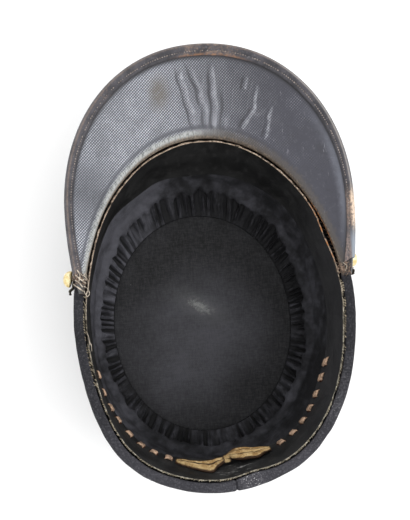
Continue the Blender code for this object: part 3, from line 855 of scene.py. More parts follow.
def sateen_cloth():
    """Black lining gone dusty: pale blotches and painted light on the smooth wall, painted shade between the
    pleats and painted highlights on their crests.
    """
    cloth = Finish("black_sateen")
    weave = cloth.cloth_map()
    # The fold mark is 1 on the smooth wall and lower into the pleats' valleys and just past their rolled
    # edge; it lays painted shade and painted highlights
    fold = cloth.mark("fold")
    blotches = cloth.noise(0.011, 3.0, 0.5, 0.6)
    clouds = cloth.noise(0.03)
    upright = cloth.noise(0.005, 3.0, 0.6, stretch=(1.0, 1.0, 0.25))
    threads = cloth.wave((1.0, 0.0, 0.0), 0.0006, weave) * cloth.wave((0.0, 1.0, 0.0), 0.0005, weave)
    streaks = cloth.noise(0.0010, 3.0, 0.7, where=weave, stretch=(1.0, 0.12, 1.0))
    # Sides of the wall for painted light and painted shade
    left = cloth.along("X", 0.0, -0.055)
    right = cloth.along("X", 0.020, 0.058)
    front = cloth.along("Y", -0.03, 0.05)
    painted_shade_front_right = cloth.along("X", 0.000, 0.024) * front
    painted_shade_back_right = cloth.spot((0.058, -0.046, 0.052), 0.012, 0.030)
    in_pleats = cloth.step(fold, 0.999, 0.96)
    # Dust, with painted shade low at the back right and painted light on the left wall, most towards the
    # front
    dust = blotches * 0.35 + clouds * 0.35 + upright * 0.35 + 0.05 - painted_shade_back_right * 0.12
    dust = dust + left * (0.15 + front * 0.85) * 0.20
    # Painted shade: where this is low the valley colour shows, more so in the pleats in front on the right
    shown = fold * cloth.step(streaks, 0.25, 0.75, 0.70, 1.15)
    shown = shown * (1 - in_pleats * painted_shade_front_right * cloth.step(blotches, 0.35, 0.65, 0.75, 0.40))
    # Painted highlights on the crests of the pleats
    crest = cloth.step(streaks, 0.58, 0.72) * cloth.step(fold, 0.45, 0.85) * in_pleats
    dusty = cloth.blend(cloth.step(dust, 0.46, 0.84), (33, 33, 35), (90, 90, 97))
    # Painted shade in the valleys, palest in front and darkest on the right
    valley = cloth.blend(front, cloth.blend(right, (22, 22, 23), (12, 12, 13)), (29, 29, 31))
    colour = cloth.blend(cloth.step(shown, 0.02, 0.85, 0.0, 0.90), valley, dusty)
    colour = cloth.blend(crest * 0.45, colour, (92, 92, 97))
    height = threads * 0.00002 + cloth.noise(0.004) * 0.0004 + streaks * 0.00015
    return cloth.finished(colour, 0.78, height, specular=0.22)


def cotton_cloth():
    """Plain-woven tip lining with a pale rubbed smudge near its middle and dust all round it."""
    cloth = Finish("charcoal_cotton")
    clouds = cloth.noise(0.022, 4.0)
    bands = cloth.noise(0.009, 3.0, 0.55, stretch=(0.3, 1.0, 1.0))
    slubs = cloth.noise(0.0007, 2.0, 0.6, stretch=(0.22, 1.0, 1.0))
    slubs = slubs + cloth.noise(0.0007, 2.0, 0.6, stretch=(1.0, 0.22, 1.0))
    threads = cloth.wave((1.0, 0.03, 0.0), 0.0011) * cloth.wave((-0.03, 1.0, 0.0), 0.0010)
    dust = 0.0
    for x, y, radius, fade, amount in COTTON_DUST:
        dust = cloth.spot((x, y, COTTON_FACE), radius, fade) * amount + dust
    dust = dust * cloth.step(clouds * 0.5 + bands * 0.5, 0.25, 0.70, 0.60, 1.1)
    off_middle = cloth.vector("SUBTRACT", cloth.here, (*COTTON_SMUDGE, COTTON_FACE))
    turned = cloth.node("ShaderNodeVectorRotate", {"rotation_type": "Z_AXIS"}, {0: off_middle, "Angle": 0.54})
    streak = cloth.stretched((0.40, 1.0, 1.0), turned)
    smudge = cloth.spot((0.0, 0.0, 0.0), 0.0002, 0.0062, streak)
    glow = cloth.spot((0.0, 0.0, 0.0), 0.0010, 0.0105, streak)
    broken = cloth.step(cloth.noise(0.0022, 5.0, 0.8) + smudge * 0.22, 0.52, 0.80)
    colour = cloth.coats(
        cloth.blend(cloth.step(clouds, 0.3, 0.75), (40, 40, 41), (47, 47, 49)),
        (dust, (93, 93, 99)),
        (glow * 0.10, (150, 152, 150)),
        (smudge * broken * 0.46, (172, 174, 170)),
        (cloth.step(slubs + threads * 0.10, 0.80, 1.40) * 0.15, (110, 110, 112)),
        (cloth.step(slubs, 1.0, 0.70, 0.0, 0.09), (20, 20, 21)),
        (cloth.step(cloth.cells(0.016), 0.010, 0.022, 1.0, 0.0) * 0.55, (200, 198, 194)),
    )
    height = threads * 0.00005 + slubs * 0.00006 + cloth.noise(0.006) * 0.0003
    return cloth.finished(colour, 0.92, height, specular=0.12)


def sweatband_leather():
    """Thin black leather, dull and dry, scuffed at the back, paler on the right, with painted shade across
    the front.
    """
    hide = Finish("black_sweatband_leather")
    clouds = hide.noise(0.015, 4.0)
    grain = hide.noise(0.0009)
    creases = hide.noise(0.0035, 4.0, 0.65, stretch=(1.0, 1.0, 0.3))
    scratch = hide.noise(0.0014, 3.0, 0.7, 0.5, stretch=(0.25, 1.0, 0.6))
    scuffed = hide.spot((0.004, -0.084, 0.104), 0.003, 0.011)
    right = hide.along("X", 0.030, 0.072)
    front = hide.along("Y", 0.030, 0.090)
    colour = hide.coats(
        hide.blend(hide.step(clouds, 0.35, 0.75), (17, 17, 17), (33, 33, 33)),
        (right * (1 - front) * 0.65, (48, 48, 50)),
        # Painted shade across the front, under the peak's edge
        (front * 0.45, (11, 11, 11)),
        (hide.step(creases, 0.50, 0.72, 0.0, 0.35), (58, 57, 57)),
        (scuffed * hide.step(scratch, 0.54, 0.70), (160, 158, 156)),
    )
    roughness = hide.step(clouds, 0.3, 0.7, 0.5, 0.72)
    return hide.finished(colour, roughness, grain * 0.0001 + creases * 0.0002, specular=0.3)


def raw_leather():
    """Cut edge of the sweatband: pale flesh side, soiled and worn away in specks."""
    edge = Finish("raw_leather_edge")
    fuzz = edge.noise(0.0010, 4.0, 0.7)
    soil = edge.noise(0.0028, 4.0, 0.7)
    back = edge.along("Y", 0.040, -0.01)
    left = edge.along("X", -0.055, -0.068)
    right_front = edge.spot((0.068, 0.045, 0.092), 0.010, 0.018)
    pale = edge.blend(back, (190, 174, 156), (176, 170, 156))
    dull = edge.blend(back, (124, 106, 92), (94, 90, 78))
    colour = edge.coats(
        edge.blend(edge.step(fuzz, 0.38, 0.66), dull, pale),
        (edge.step(soil + back * 0.04 + left * back * 0.05, 0.54, 0.62) * 0.9, (44, 40, 35)),
        (right_front * edge.step(soil, 0.58, 0.42), (156, 108, 70)),
    )
    return edge.finished(colour, 0.95, fuzz * 0.0003, specular=0.15)


def cut_peak_edge():
    """Cut inner edge of the peak: brown flesh side, orange where the seam has come apart."""
    edge = Finish("cut_peak_edge")
    fuzz = edge.noise(0.0014, 4.0, 0.7)
    clouds = edge.noise(0.006)
    parted = edge.spot((0.0645, 0.050, 0.0915), 0.006, 0.013)
    colour = edge.blend(edge.step(fuzz, 0.3, 0.7), (44, 36, 30), (104, 86, 64))
    colour = edge.blend(parted * edge.step(clouds, 0.35, 0.6, 0.4, 1.0), colour, (176, 112, 60))
    return edge.finished(colour, 0.9, fuzz * 0.0003, specular=0.2)


def peak_underside():
    """Cross-grained leather, pale on its high points, rubbed smooth on the right and darker there, partly as
    painted shade.
    """
    hide = Finish("cross_grained_peak")
    reach = hide.mark("reach")
    crease = hide.mark("crease")
    gap = hide.mark("gap")
    clouds = hide.noise(0.018, 4.0, 0.6)
    fine = hide.noise(0.0030, 4.0, 0.7)
    grit = hide.noise(0.0009, 2.0, 0.6)
    fuzz = hide.noise(0.0011, 3.0, 0.7, where=hide.cloth_map(), stretch=(1.0, 0.30, 1.0))
    scratch = hide.noise(0.0016, 3.0, 0.7, stretch=(1.0, 0.22, 1.0))
    across = hide.axis("X")
    rising = hide.wave((1.0, -1.0, 0.0), GRAIN_PITCH)
    falling = hide.wave((1.0, 1.0, 0.0), GRAIN_PITCH)
    grain = rising * 0.60 + falling * 0.40 + (grit - 0.5) * 0.8

    # Where it is worn, and where painted shade lies: partly on the right, and along the binding
    right = hide.step(across + (clouds - 0.5) * 0.05, -0.030, 0.040)
    faded = hide.step(across + (clouds - 0.5) * 0.02, -0.006, 0.016)
    worn_smooth = hide.step(across + (clouds - 0.5) * 0.10, 0.012, 0.050)
    patches = hide.step(clouds + (fine - 0.5) * 0.5, 0.44, 0.74) * hide.along("Y", 0.070, 0.105)
    beside_welt = hide.step(abs(reach - 0.0072), 0.0004, 0.0020, 0.3, 1.0)
    near_edge = hide.step(gap, 0.0006, 0.0034)
    smear = hide.spot((-0.0560, 0.0620, 0.0980), 0.001, 0.008, hide.stretched((1.0, 0.7, 1.0)))
    rubbed = hide.spot((-0.0660, 0.0760, 0.0970), 0.004, 0.026)
    rubbed_dark = rubbed.most(smear)
    top = hide.spot((0.0160, 0.1380, 0.0930), 0.008, 0.040)
    right_side = hide.spot((0.0780, 0.0780, 0.0900), 0.014, 0.036)
    pale_band = hide.step(gap + (fine - 0.5) * 0.0040, 0.0095, 0.0020) * right_side
    shown = (1 - worn_smooth * (1 - patches * 0.55)) * beside_welt * (near_edge * 0.7 + 0.3)
    shown = shown * (1 - rubbed_dark * 0.55) * hide.step(fine, 0.2, 0.6, 0.55, 1.0)
    shown = shown * hide.step(clouds, 0.34, 0.58, 0.62, 1.05)

    # Its hollows, its high points, and the two together
    base = hide.coats(
        # Darker on the right and paler in clouds on the left: worn smooth on the right, and partly painted
        # light and shade
        hide.blend(right, (80, 82, 90), (58, 58, 66)),
        (hide.step(clouds, 0.42, 0.72, 0.0, 0.30) * (1 - right), (132, 134, 144)),
        (hide.step(clouds, 0.50, 0.30, 0.0, 0.35), (46, 46, 51)),
        (hide.step(fine, 0.52, 0.72, 0.0, 0.45), (46, 46, 50)),
        (hide.step(fine, 0.44, 0.28, 0.0, 0.22), (104, 104, 110)),
        (rubbed_dark * 0.50, (50, 51, 56)),
        (top * 0.42, (40, 40, 44)),
        (pale_band * hide.step(clouds, 0.30, 0.60, 0.5, 1.0) * 0.34, (138, 142, 154)),
        (hide.step(scratch, 0.64, 0.74) * right * 0.40, (140, 140, 148)),
        # Painted shade in a band along the binding
        ((1 - near_edge) * (1 - right_side * 0.7) * 0.45, (50, 50, 56)),
    )
    # High points darker on the right as well, partly painted shade
    points = hide.blend(right, (188, 191, 198), (134, 135, 144))
    points = hide.blend(rubbed * 0.40 + top * 0.42, points, (112, 113, 118))
    colour = hide.blend(hide.step(grain, -0.05, 0.70) * shown, base, points)

    # The stain, the welt along the seam and its fringe, with painted highlights and shade on the folds and
    # painted shade beside the welt and along the binding
    from_stain = hide.vector("SUBTRACT", hide.here, (-0.0215, 0.1300, 0.0908))
    stain = hide.spot((0.0, 0.0, 0.0), 0.0010, 0.0092, hide.stretched((1.15, 0.70, 1.0), from_stain))
    welt = hide.step(reach + (fine - 0.5) * 0.0034, 0.0040, 0.0062, 1.0, 0.0)
    worn_welt = hide.blend(faded, (166, 168, 166), (76, 70, 66))
    dirt = hide.step(fuzz + (grit - 0.5) * 0.3, 0.44, 0.62, 0.0, 0.70)
    worn_welt = hide.blend(dirt, worn_welt, (76, 77, 74))
    fringe = hide.step(reach + (fuzz - 0.5) * 0.0050, 0.0016, 0.0034, 1.0, 0.0)
    tan = hide.blend(hide.step(grit, 0.42, 0.60), (70, 58, 46), (128, 112, 94))
    dusty = hide.step(reach + (fine - 0.5) * 0.0080, 0.0040, 0.0085, 1.0, 0.0) * faded
    # Painted highlights on the ridges of the folds and painted shade in their grooves, read from the crease
    # mark
    ridge_highlight = hide.step(crease, 0.00012, 0.00048, 0.0, 0.50)
    groove_shade = hide.step(crease, -0.00032, -0.00003, 0.70, 0.0)
    colour = hide.coats(
        colour,
        (hide.step(grain, 0.0, -0.7) * shown * 0.6, (28, 28, 32)),
        (ridge_highlight * hide.step(fine + grain * 0.20, 0.30, 0.70, 0.1, 1.0), (172, 174, 181)),
        (groove_shade * hide.step(fine, 0.25, 0.55, 0.5, 1.0), (38, 37, 42)),
        (stain * hide.step(fine + clouds * 0.5, 0.50, 0.80, 0.25, 1.0) * 0.80, (84, 78, 70)),
        (welt * hide.step(faded, 0.0, 1.0, 0.88, 0.50), worn_welt),
        # Painted shade in the groove outside the welt
        (hide.step(abs(reach - 0.0068), 0.0, 0.0016, 0.4, 0.0) * (1 - faded), (48, 48, 53)),
        (fringe * 0.80, tan),
        (dusty * hide.step(fuzz, 0.35, 0.60, 0.15, 0.75), (66, 61, 57)),
        # Painted shadow in a thin dark line next to the binding
        (hide.step(gap, 0.0, 0.0016, 1.0, 0.0) * 0.75, (30, 29, 32)),
    )
    height = grain * shown * 0.00005 + fine * 0.0003 + grit * 0.00010 + fuzz * welt * 0.0004
    return hide.finished(colour, hide.step(clouds, 0.3, 0.7, 0.42, 0.62), height, specular=0.35)


def peak_topside():
    """Glossy black leather on the side of the peak that is worn uppermost, with fine age cracks."""
    hide = Finish("black_peak_leather")
    clouds = hide.noise(0.012, 4.0)
    cracks = hide.cells(0.0040, "DISTANCE_TO_EDGE")
    crazed = hide.step(cracks, 0.0, 0.06, 1.0, 0.0) * hide.step(clouds, 0.45, 0.65)
    colour = hide.blend(hide.step(clouds, 0.4, 0.7), (17, 17, 18), (30, 29, 29))
    colour = hide.blend(crazed * 0.6, colour, (58, 50, 44))
    return hide.finished(colour, hide.step(clouds, 0.3, 0.7, 0.16, 0.34), clouds * 0.0003 - crazed * 0.00012)


def binding_leather():
    """Dark binding rubbed through to brown in front and at its ends, its right end bare and bluish, with a
    painted highlight along its right outer edge.
    """
    hide = Finish("worn_binding_leather")
    edge_wear_and_highlight = hide.mark("edge_wear_and_highlight")
    inner = hide.mark("inner")
    clouds = hide.noise(0.009, 4.0, 0.65)
    fine = hide.noise(0.0014, 3.0, 0.65)
    pores = hide.noise(0.0006, 2.0)
    top = hide.spot((0.010, 0.153, 0.097), 0.010, 0.018)
    left = hide.spot((-0.052, 0.1285, 0.100), 0.003, 0.008)
    left_end = hide.spot((-0.079, 0.036, 0.103), 0.004, 0.014)
    right_end = hide.spot((0.0815, 0.0560, 0.103), 0.005, 0.010)
    low_right = hide.spot((0.0800, 0.0300, 0.104), 0.006, 0.012)
    right = hide.along("X", 0.030, 0.060)
    rubbed = top.most(left * 0.6).most(left_end * 0.5).most(right_end * 1.3)
    wear = hide.step(clouds * 0.40 + fine * 0.60 + rubbed * 0.13, 0.58, 0.80)
    edge_line = edge_wear_and_highlight * hide.step(fine + clouds * 0.4, 0.50, 0.85, 0.15, 1.0)
    mottled = hide.step(fine, 0.32, 0.58)
    ragged = hide.axis("X") + (fine - 0.5) * 0.0012
    outer = hide.step(ragged, 0.0803, 0.0822)
    low_outer = hide.step(ragged, 0.0786, 0.0804)
    bare = hide.step(fine + (pores - 0.5) * 0.5, 0.36, 0.56, 0.1, 0.95)
    colour = hide.coats(
        hide.blend(hide.step(clouds, 0.35, 0.7), (46, 45, 49), (72, 70, 75)),
        (hide.step(fine, 0.45, 0.25, 0.0, 0.6), (112, 110, 112)),
        (wear * (0.25 + rubbed * 0.55), (126, 106, 92)),
        (top.most(left_end * 0.4) * inner * hide.step(fine, 0.30, 0.55) * 0.55, (142, 102, 72)),
        (inner * (1 - top) * 0.55, (34, 33, 36)),
        (edge_line * 0.8, (122, 108, 100)),
        # Painted highlight along the outer edge on the right
        (edge_wear_and_highlight * right * 0.35, (150, 152, 152)),
        (right_end * mottled * 0.7, (118, 102, 94)),
        (right_end * outer * bare, (206, 184, 162)),
        (low_right * low_outer * 0.9, (122, 130, 140)),
        (low_right * (1 - low_outer) * mottled * 0.6, (146, 128, 120)),
    )
    return hide.finished(colour, 0.6, fine * 0.00030 + pores * 0.00010, specular=0.3)


def sewing_thread(name, tone):
    """Twisted thread or narrow ribbon of one dye, uneven with wear."""
    thread = Finish(name)
    soil = thread.noise(0.003, 3.0, 0.7)
    twist = thread.noise(0.0004, 2.0)
    clean = shade(*tone)
    values = {0: thread.step(soil, 0.42, 0.62), 6: clean, 7: tuple(THREAD_SOILING * c for c in clean)}
    colour = thread.node("ShaderNodeMix", {"data_type": "RGBA"}, values, 2)
    return thread.finished(colour, 0.85, twist * 0.0001, specular=0.2)


def strap_leather():
    """Dull olive-brown leather, rubbed paler in specks."""
    hide = Finish("strap_leather")
    clouds = hide.noise(0.006, 4.0)
    fine = hide.noise(0.0010, 3.0, 0.65)
    colour = hide.blend(hide.step(clouds, 0.35, 0.7), (36, 33, 26), (58, 54, 43))
    colour = hide.blend(hide.step(fine, 0.52, 0.72, 0.0, 0.45), colour, (110, 104, 86))
    return hide.finished(colour, 0.6, clouds * 0.0002 + fine * 0.00015, specular=0.3)


def ribbon_cloth():
    """Gold-tan silk ribbon, darker along its edges and ends, with painted shade in its creases and round its
    knot.
    """
    cloth = Finish("tan_ribbon")
    clouds = cloth.noise(0.006)
    fine = cloth.noise(0.0013, 4.0, 0.7)
    ribs = cloth.wave((1.0, 0.0, 0.0), 0.0006, cloth.cloth_map())
    colour = cloth.coats(
        cloth.blend(cloth.step(clouds, 0.35, 0.7), (136, 106, 64), (184, 158, 112)),
        (cloth.step(fine, 0.48, 0.70, 0.0, 0.6), (206, 184, 142)),
        (cloth.step(fine, 0.42, 0.25, 0.0, 0.6), (92, 62, 30)),
        # Darker edges and ends, and painted shade in the creases and round the knot, from the dark mark
        (cloth.step(cloth.mark("dark"), 0.15, 0.85), (44, 26, 11)),
    )
    height = ribs * 0.00004 + clouds * 0.0003 + fine * 0.0001
    return cloth.finished(colour, 0.72, height, specular=0.25)


def gilt_brass():
    """Gilt brass, tarnished brown in specks."""
    metal = Finish("tarnished_gilt_brass")
    clouds = metal.noise(0.0025)
    specks = metal.noise(0.0007, 2.0)
    colour = metal.blend(metal.step(clouds, 0.35, 0.7), (204, 184, 130), (244, 232, 194))
    colour = metal.blend(metal.step(specks, 0.56, 0.70, 0.0, 0.6), colour, (128, 100, 52))
    roughness = metal.step(clouds, 0.3, 0.7, 0.34, 0.55)
    return metal.finished(colour, roughness, clouds * 0.0003 + specks * 0.00006, metallic=1.0)


# Pieces

def tip_cover(wool):
    """Cloth disc that closes the crown, rolled over its stiffener at the seam."""
    edge = 0.0008
    corners = [(edge, 0.0)]
    for a in spread(0.3, math.pi - 0.3, 9):
        inset = -TIP_SEAM_OVERHANG + edge * 1.5 * (1 - math.sin(a))
        corners.append((inset, TIP_THICKNESS / 2 * (1 - math.cos(a))))
    corners += [(edge, TIP_THICKNESS)]
    inner = spread(0.0, 0.92, 12)
    rows = []
    for bearing in bearings(TIP_STEPS):
        plan = tip_outline(bearing)
        normal = wall_normal(bearing, 0.0)
        row = [(plan * share).to_3d() for share in inner]
        row += [raised(plan - normal * inset, height) for inset, height in corners]
        row += [Vector((plan.x * share, plan.y * share, TIP_THICKNESS)) for share in reversed(inner)]
        rows.append(row)
    return dress(skin("tip_cover", rows, [wool], round_rows=True), "crown_top", slot="blue_black_wool")


def crown_wall(wool):
    """Soft wool wall between the tip and the rim, with shallow wrinkles."""
    rows = []
    for bearing in bearings(WALL_STEPS):
        top = rim_height(bearing) - CROWN_EDGE_DROP
        sag = rim_height(bearing) - BAND_WIDTH
        outer = []
        for height in spread(LINING_FLOOR, top, 34):
            free = smooth((height - LINING_FLOOR) / 0.008) * smooth((sag - height) / 0.006)
            wrinkle = round_waver(bearing, height * 38, 11, 3.0)
            wrinkle += 0.5 * round_waver(bearing, height * 90, 30, 8.0)
            outer.append(wall_point(bearing, height, CROWN_WRINKLE * free * wrinkle))
        inner = [wall_point(bearing, height, CROWN_CLOTH) for height in spread(top, LINING_FLOOR, 12)]
        rows.append(outer + inner)
    made = skin("crown_wall", rows, [wool], round_rows=True, round_points=True)
    return dress(made, "crown_side", slot="blue_black_wool")


def seam_wander(bearing):
    """How far the seam round the rim strays inwards, by a kink right of the back seam."""
    return 0.0020 * bump_at(bearing, 172.0, 6.5) + 0.0005 * bump_at(bearing, 100.0, 9.0)


def rim_band(wool):
    """Cloth band folded over the crown's edge and turned in, notched by its seam at the back."""
    channel = CROWN_EDGE_DROP - CLEARANCE
    middle = (BAND_FACE + PEAK_INSET) / 2
    half = (PEAK_INSET - BAND_FACE) / 2
    fold = [
        (middle - half * math.cos(a), RIM_ROUND * 1.6 * (1 - math.sin(a) ** 0.8))
        for a in spread(0.0, math.pi, 15)
    ]
    corners = [(BAND_FACE, BAND_WIDTH), *fold, (PEAK_INSET, BAND_TURN_IN), (LINING_INSET, BAND_TURN_IN)]
    section = stroke(corners, 0.0012)
    section += [(LINING_INSET, channel), (-CLEARANCE, channel), (-CLEARANCE, BAND_WIDTH)]
    outer = len(section) - 3
    rows = []
    for bearing in bearings(RIM_STEPS):
        seam = bump_at(angle_between(bearing, BACK_SEAM_BEARING), 0.0, BACK_SEAM_ANGLE)
        row = []
        for i, (inset, drop) in enumerate(section):
            if i < outer:
                on_top = smooth(1 - drop / 0.02)
                pucker = 0.00025 * round_waver(bearing, drop * 60 + inset * 90, 70, 1.0)
                pucker += 0.00030 * round_waver(bearing, drop * 30, 18, 4.0)
                side = 1 if inset < middle else -1
                if side < 0:
                    pucker += seam_wander(bearing) * smooth((inset - middle) / half)
                inset += pucker * on_top + seam * SEAM_NOTCH_SINK * side
                drop += seam * SEAM_NOTCH_DROP * smooth(1 - drop / 0.004)
            row.append(rim_point(bearing, drop, inset))
        rows.append(row)
    made = skin("rim_band", rows, [wool], round_rows=True, round_points=True)
    return dress(made, "band", slot="blue_black_wool")


def sweatband_face(bearing, drop):
    """Inset of the sweatband's inner face, which leans off the wall towards its wavy free edge."""
    share = max(drop - SWEATBAND_DROP, 0.0) / SWEATBAND_WIDTH
    wave = SWEATBAND_WAVE * round_waver(bearing, 0.0, 22, 6.0) * share ** 2
    at_peak = beside_peak(bearing, 4.0, 8.0)
    loose = 0.0005 * at_peak * (1.0 + 0.9 * round_waver(bearing, 0.0, 30, 18.0))
    parted = 0.0012 * bump_at(bearing, 62.0, 9.0)
    off = (loose + parted + seam_wander(bearing)) * smooth(1 - (drop + 0.003) / 0.014)
    return SWEATBAND_SEAM + round_table(SWEATBAND_LEAN, bearing) * SWEATBAND_WIDTH * share + wave + off


def sweatband_top(bearing):
    """Drop of the sweatband's raw edge. It stands up inside the peak's inner edge at the front."""
    under_peak = beside_peak(bearing, 1.0, 4.0)
    ragged = 0.00018 * round_waver(bearing, 0.0, 190, 3.0) + 0.00015 * round_waver(bearing, 0.0, 60, 7.0)
    return mix(SWEATBAND_DROP, -SWEATBAND_RISE, under_peak) + ragged


def sweat_leather(leather, raw):
    """Leather strip sewn inside the rim, its cut top edge pale and raw."""
    foot = SWEATBAND_DROP + SWEATBAND_WIDTH
    bevel = 0.18 * SWEATBAND_LEATHER
    rows = []
    for bearing in bearings(RIM_STEPS):
        top = sweatband_top(bearing)
        drops = [mix(top, foot, share ** 1.3) for share in spread(0.0, 1.0, 26)]
        at_peak = beside_peak(bearing, 1.0, 4.0)
        thin = SWEATBAND_LEATHER * (mix(0.52, 0.66, at_peak) + 0.5 * round_waver(bearing, 0.0, 150, 11.0))
        inner = [(drop, sweatband_face(bearing, drop)) for drop in drops]
        edge = inner[0][1]
        inner[0] = (top + 0.00035, edge)
        outer = [(drop, face - SWEATBAND_LEATHER) for drop, face in inner[::-5]]
        outer[-1] = (top + RAW_EDGE_ROUND, edge - thin)
        crest = [(top, edge - thin + bevel), (top, edge - bevel)]
        inner[-1] = (foot - RAW_EDGE_ROUND, inner[-1][1] + RAW_EDGE_ROUND)
        rows.append([rim_point(bearing, drop, face) for drop, face in inner + outer + crest])
    raw_from = len(rows[0]) - 3
    made = skin(
        "sweat_leather", rows, [leather, raw], round_rows=True, round_points=True,
        slot=lambda i, j: 1 if j >= raw_from else 0,
    )
    return dress(made, "sweatband", slot="black_leather")


def gather_fold(bearing, way_in):
    """Folds of the gathered lining, from 0 in a valley to 1 on a ridge. They slant in groups."""
    turn = math.radians(bearing)
    slant = 5.5 * round_waver(bearing, 0.0, 19, 25.0) * (way_in - 0.6)
    wander = 7.0 * round_waver(bearing, way_in * 0.25, 15, 5.0)
    wander += 3.4 * round_waver(bearing, way_in * 0.4, 60, 7.0)
    phase = PLEAT_COUNT * turn + slant + wander
    wide = 0.25 + 1.10 * round_waver(bearing, way_in * 0.8, 44, 9.0)
    broad = smooth((math.cos(phase) + wide + 0.85) / 1.9)
    fine = 0.5 + 0.5 * math.cos(2.3 * phase + 2.0 + 5.0 * round_waver(bearing, way_in * 0.6, 50, 17.0))
    ridge = broad * (0.62 + 0.38 * fine)
    creased = 0.34 * round_waver(bearing, way_in * 1.6, 260, 33.0)
    creased += 0.30 * round_waver(bearing, way_in * 1.5, 90, 3.0)
    depth = smooth(0.90 + 1.6 * round_waver(bearing, way_in * 0.5, 40, 41.0))
    return min(1.0, max(0.0, mix(0.66, ridge, depth) + creased))


def lining_gathers(sateen):
    """Lining of the wall: smooth cloth that rolls over into tight pleats, sewn to the tip lining."""
    half_width = TIP_LINING_HALF_WIDTH + CLEARANCE
    half_length = TIP_LINING_HALF_LENGTH + CLEARANCE
    rows = []
    fold_shades = []
    for bearing in bearings(PLEAT_STEPS):
        top = rim_height(bearing) - LINING_TOP_DROP
        start = wall_point(bearing, GATHER_HEIGHT, LINING_INSET)
        end = raised(oval(bearing, half_width, half_length, TIP_FULLNESS), LINING_FLOOR)
        outward = wall_outward(bearing, GATHER_HEIGHT)
        mouth = PLEAT_START + 0.09 * round_waver(bearing, 0.0, 24, 12.0)
        mouth += 0.14 * round_waver(bearing, 0.0, 90, 2.0)
        right = bump_at(angle_between(bearing, 88.0), 0.0, 42.0)
        face = []
        back = []
        fold_shade_row = []
        for i, height in enumerate(spread(top, GATHER_HEIGHT + 0.002, 15)):
            low = smooth((top - height) / 0.03)
            ripple = LINING_RIPPLE * (1 + round_waver(bearing, height * 5, 26, 2.0))
            ripple += 0.0007 * low * round_waver(bearing, height * 9, 70, 12.0)
            ripple += 0.0012 * low * right * round_waver(bearing + height * 900, height * 8, 50, 22.0)
            face.append(wall_point(bearing, height, LINING_INSET + LINING_CLOTH + ripple))
            fold_shade_row.append(1.0)
            if i % 3 == 0:
                back.append(wall_point(bearing, height, LINING_INSET))
        for i, way_in in enumerate(spread(0.0, 1.0, 25)):
            height, relief = curve_through(GATHER_SECTION, way_in)
            base = raised(start.lerp(end, way_in), mix(LINING_FLOOR, GATHER_HEIGHT, height))
            pleated = smooth((way_in - mouth) / 0.17)
            fold = gather_fold(bearing, way_in)
            roll = LINING_ROLL * bump_at(way_in, mouth - 0.05, 0.12)
            lift = mix(0.0009, PLEAT_RELIEF * (fold - 0.42), pleated) * mix(1.0, relief, pleated) + roll
            direction = (Vector((0.0, 0.0, way_in)) - outward * (1 - way_in)).normalized()
            face.append(base + direction * (LINING_CLOTH + lift))
            # Painted shadow: the mark is darker just past the rolled edge, where the pleats start under it
            shadow_under_roll = 1 - 0.5 * bump_at(way_in, mouth + 0.10, 0.07)
            fold_shade_row.append(mix(1.0, fold * shadow_under_roll, pleated))
            if i % 2 == 0:
                back.append(base + direction * min(lift, 0.0))
        rows.append(face + back[::-1])
        fold_shades.append(fold_shade_row + [0.0] * len(back))
    made = skin("lining_gathers", rows, [sateen], round_rows=True, round_points=True, marks={"fold": fold_shades})
    return dress(made, "side_lining", slot="black_sateen")


def tip_disc(cotton):
    """Flat oval of lining cloth in the tip, sagging slightly between its stitches."""
    rounding = 0.0003
    shares = spread(0.0, 0.985, 40)
    rows = []
    for bearing in bearings(TIP_STEPS):
        edge = oval(bearing, TIP_LINING_HALF_WIDTH, TIP_LINING_HALF_LENGTH, TIP_FULLNESS)
        row = []
        for share in shares:
            point = edge * share
            swell = 0.0003 * waver(point.x, point.y, scale=55) * smooth((1 - share) / 0.1)
            row.append(raised(point, COTTON_FACE + swell))
        row += [raised(edge, COTTON_FACE - rounding), raised(edge, LINING_FLOOR + rounding)]
        row += [raised(edge * share, LINING_FLOOR) for share in (*shares[::-6], 0.0)]
        rows.append(row)
    return dress(skin("tip_disc", rows, [cotton], round_rows=True), "tip_lining", slot="charcoal_cotton")


def peak_edge(place):
    """Outer edge of the peak in plan, at a place from -1 at its left end to 1 at its right one."""
    side = math.copysign(1.0, place)
    share = abs(place)
    if share <= PEAK_SIDE_SHARE:
        turn = math.radians(90 * share / PEAK_SIDE_SHARE)
        across = PEAK_HALF_WIDTH * math.sin(turn) ** (2 / PEAK_FULLNESS)
        y = PEAK_CENTRE_Y + PEAK_FRONT_REACH * max(math.cos(turn), 0.0) ** (2 / PEAK_FULLNESS)
    else:
        run = (share - PEAK_SIDE_SHARE) / (1 - PEAK_SIDE_SHARE)
        across = PEAK_HALF_WIDTH - PEAK_END_TAPER * run * run
        y = mix(PEAK_CENTRE_Y, PEAK_END_Y, run)
    return Vector((PEAK_SHIFT_X + side * across, y))


@functools.lru_cache(maxsize=None)
def peak_seat(place):
    """Inner edge of the peak, where it sits on the rim."""
    return rim_point(PEAK_END_BEARING * place, 0.0, PEAK_INSET) + UP * CLEARANCE


def peak_point(place, share, crown=0.0):
    """Point under the peak's leather at a share of its width. Crown is a rise as a share of it."""
    seat = peak_seat(place)
    edge = peak_edge(place)
    width = (edge - seat.xy).length
    rise = width * math.tan(math.radians(PEAK_SLOPE_ANGLE))
    outer = raised(edge, rim_plane(edge.y) + CLEARANCE + rise)
    return seat.lerp(outer, share) + UP * (crown * width)


@functools.lru_cache(maxsize=None)
def peak_up(place):
    """Direction square to the peak's leather, on its upper side."""
    low, high = max(-1.0, place - 0.01), min(1.0, place + 0.01)
    along = peak_point(high, 0.6) - peak_point(low, 0.6)
    across = peak_point(place, 1.0) - peak_point(place, 0.0)
    up = along.cross(across)
    return (up if up.z > 0 else -up).normalized()


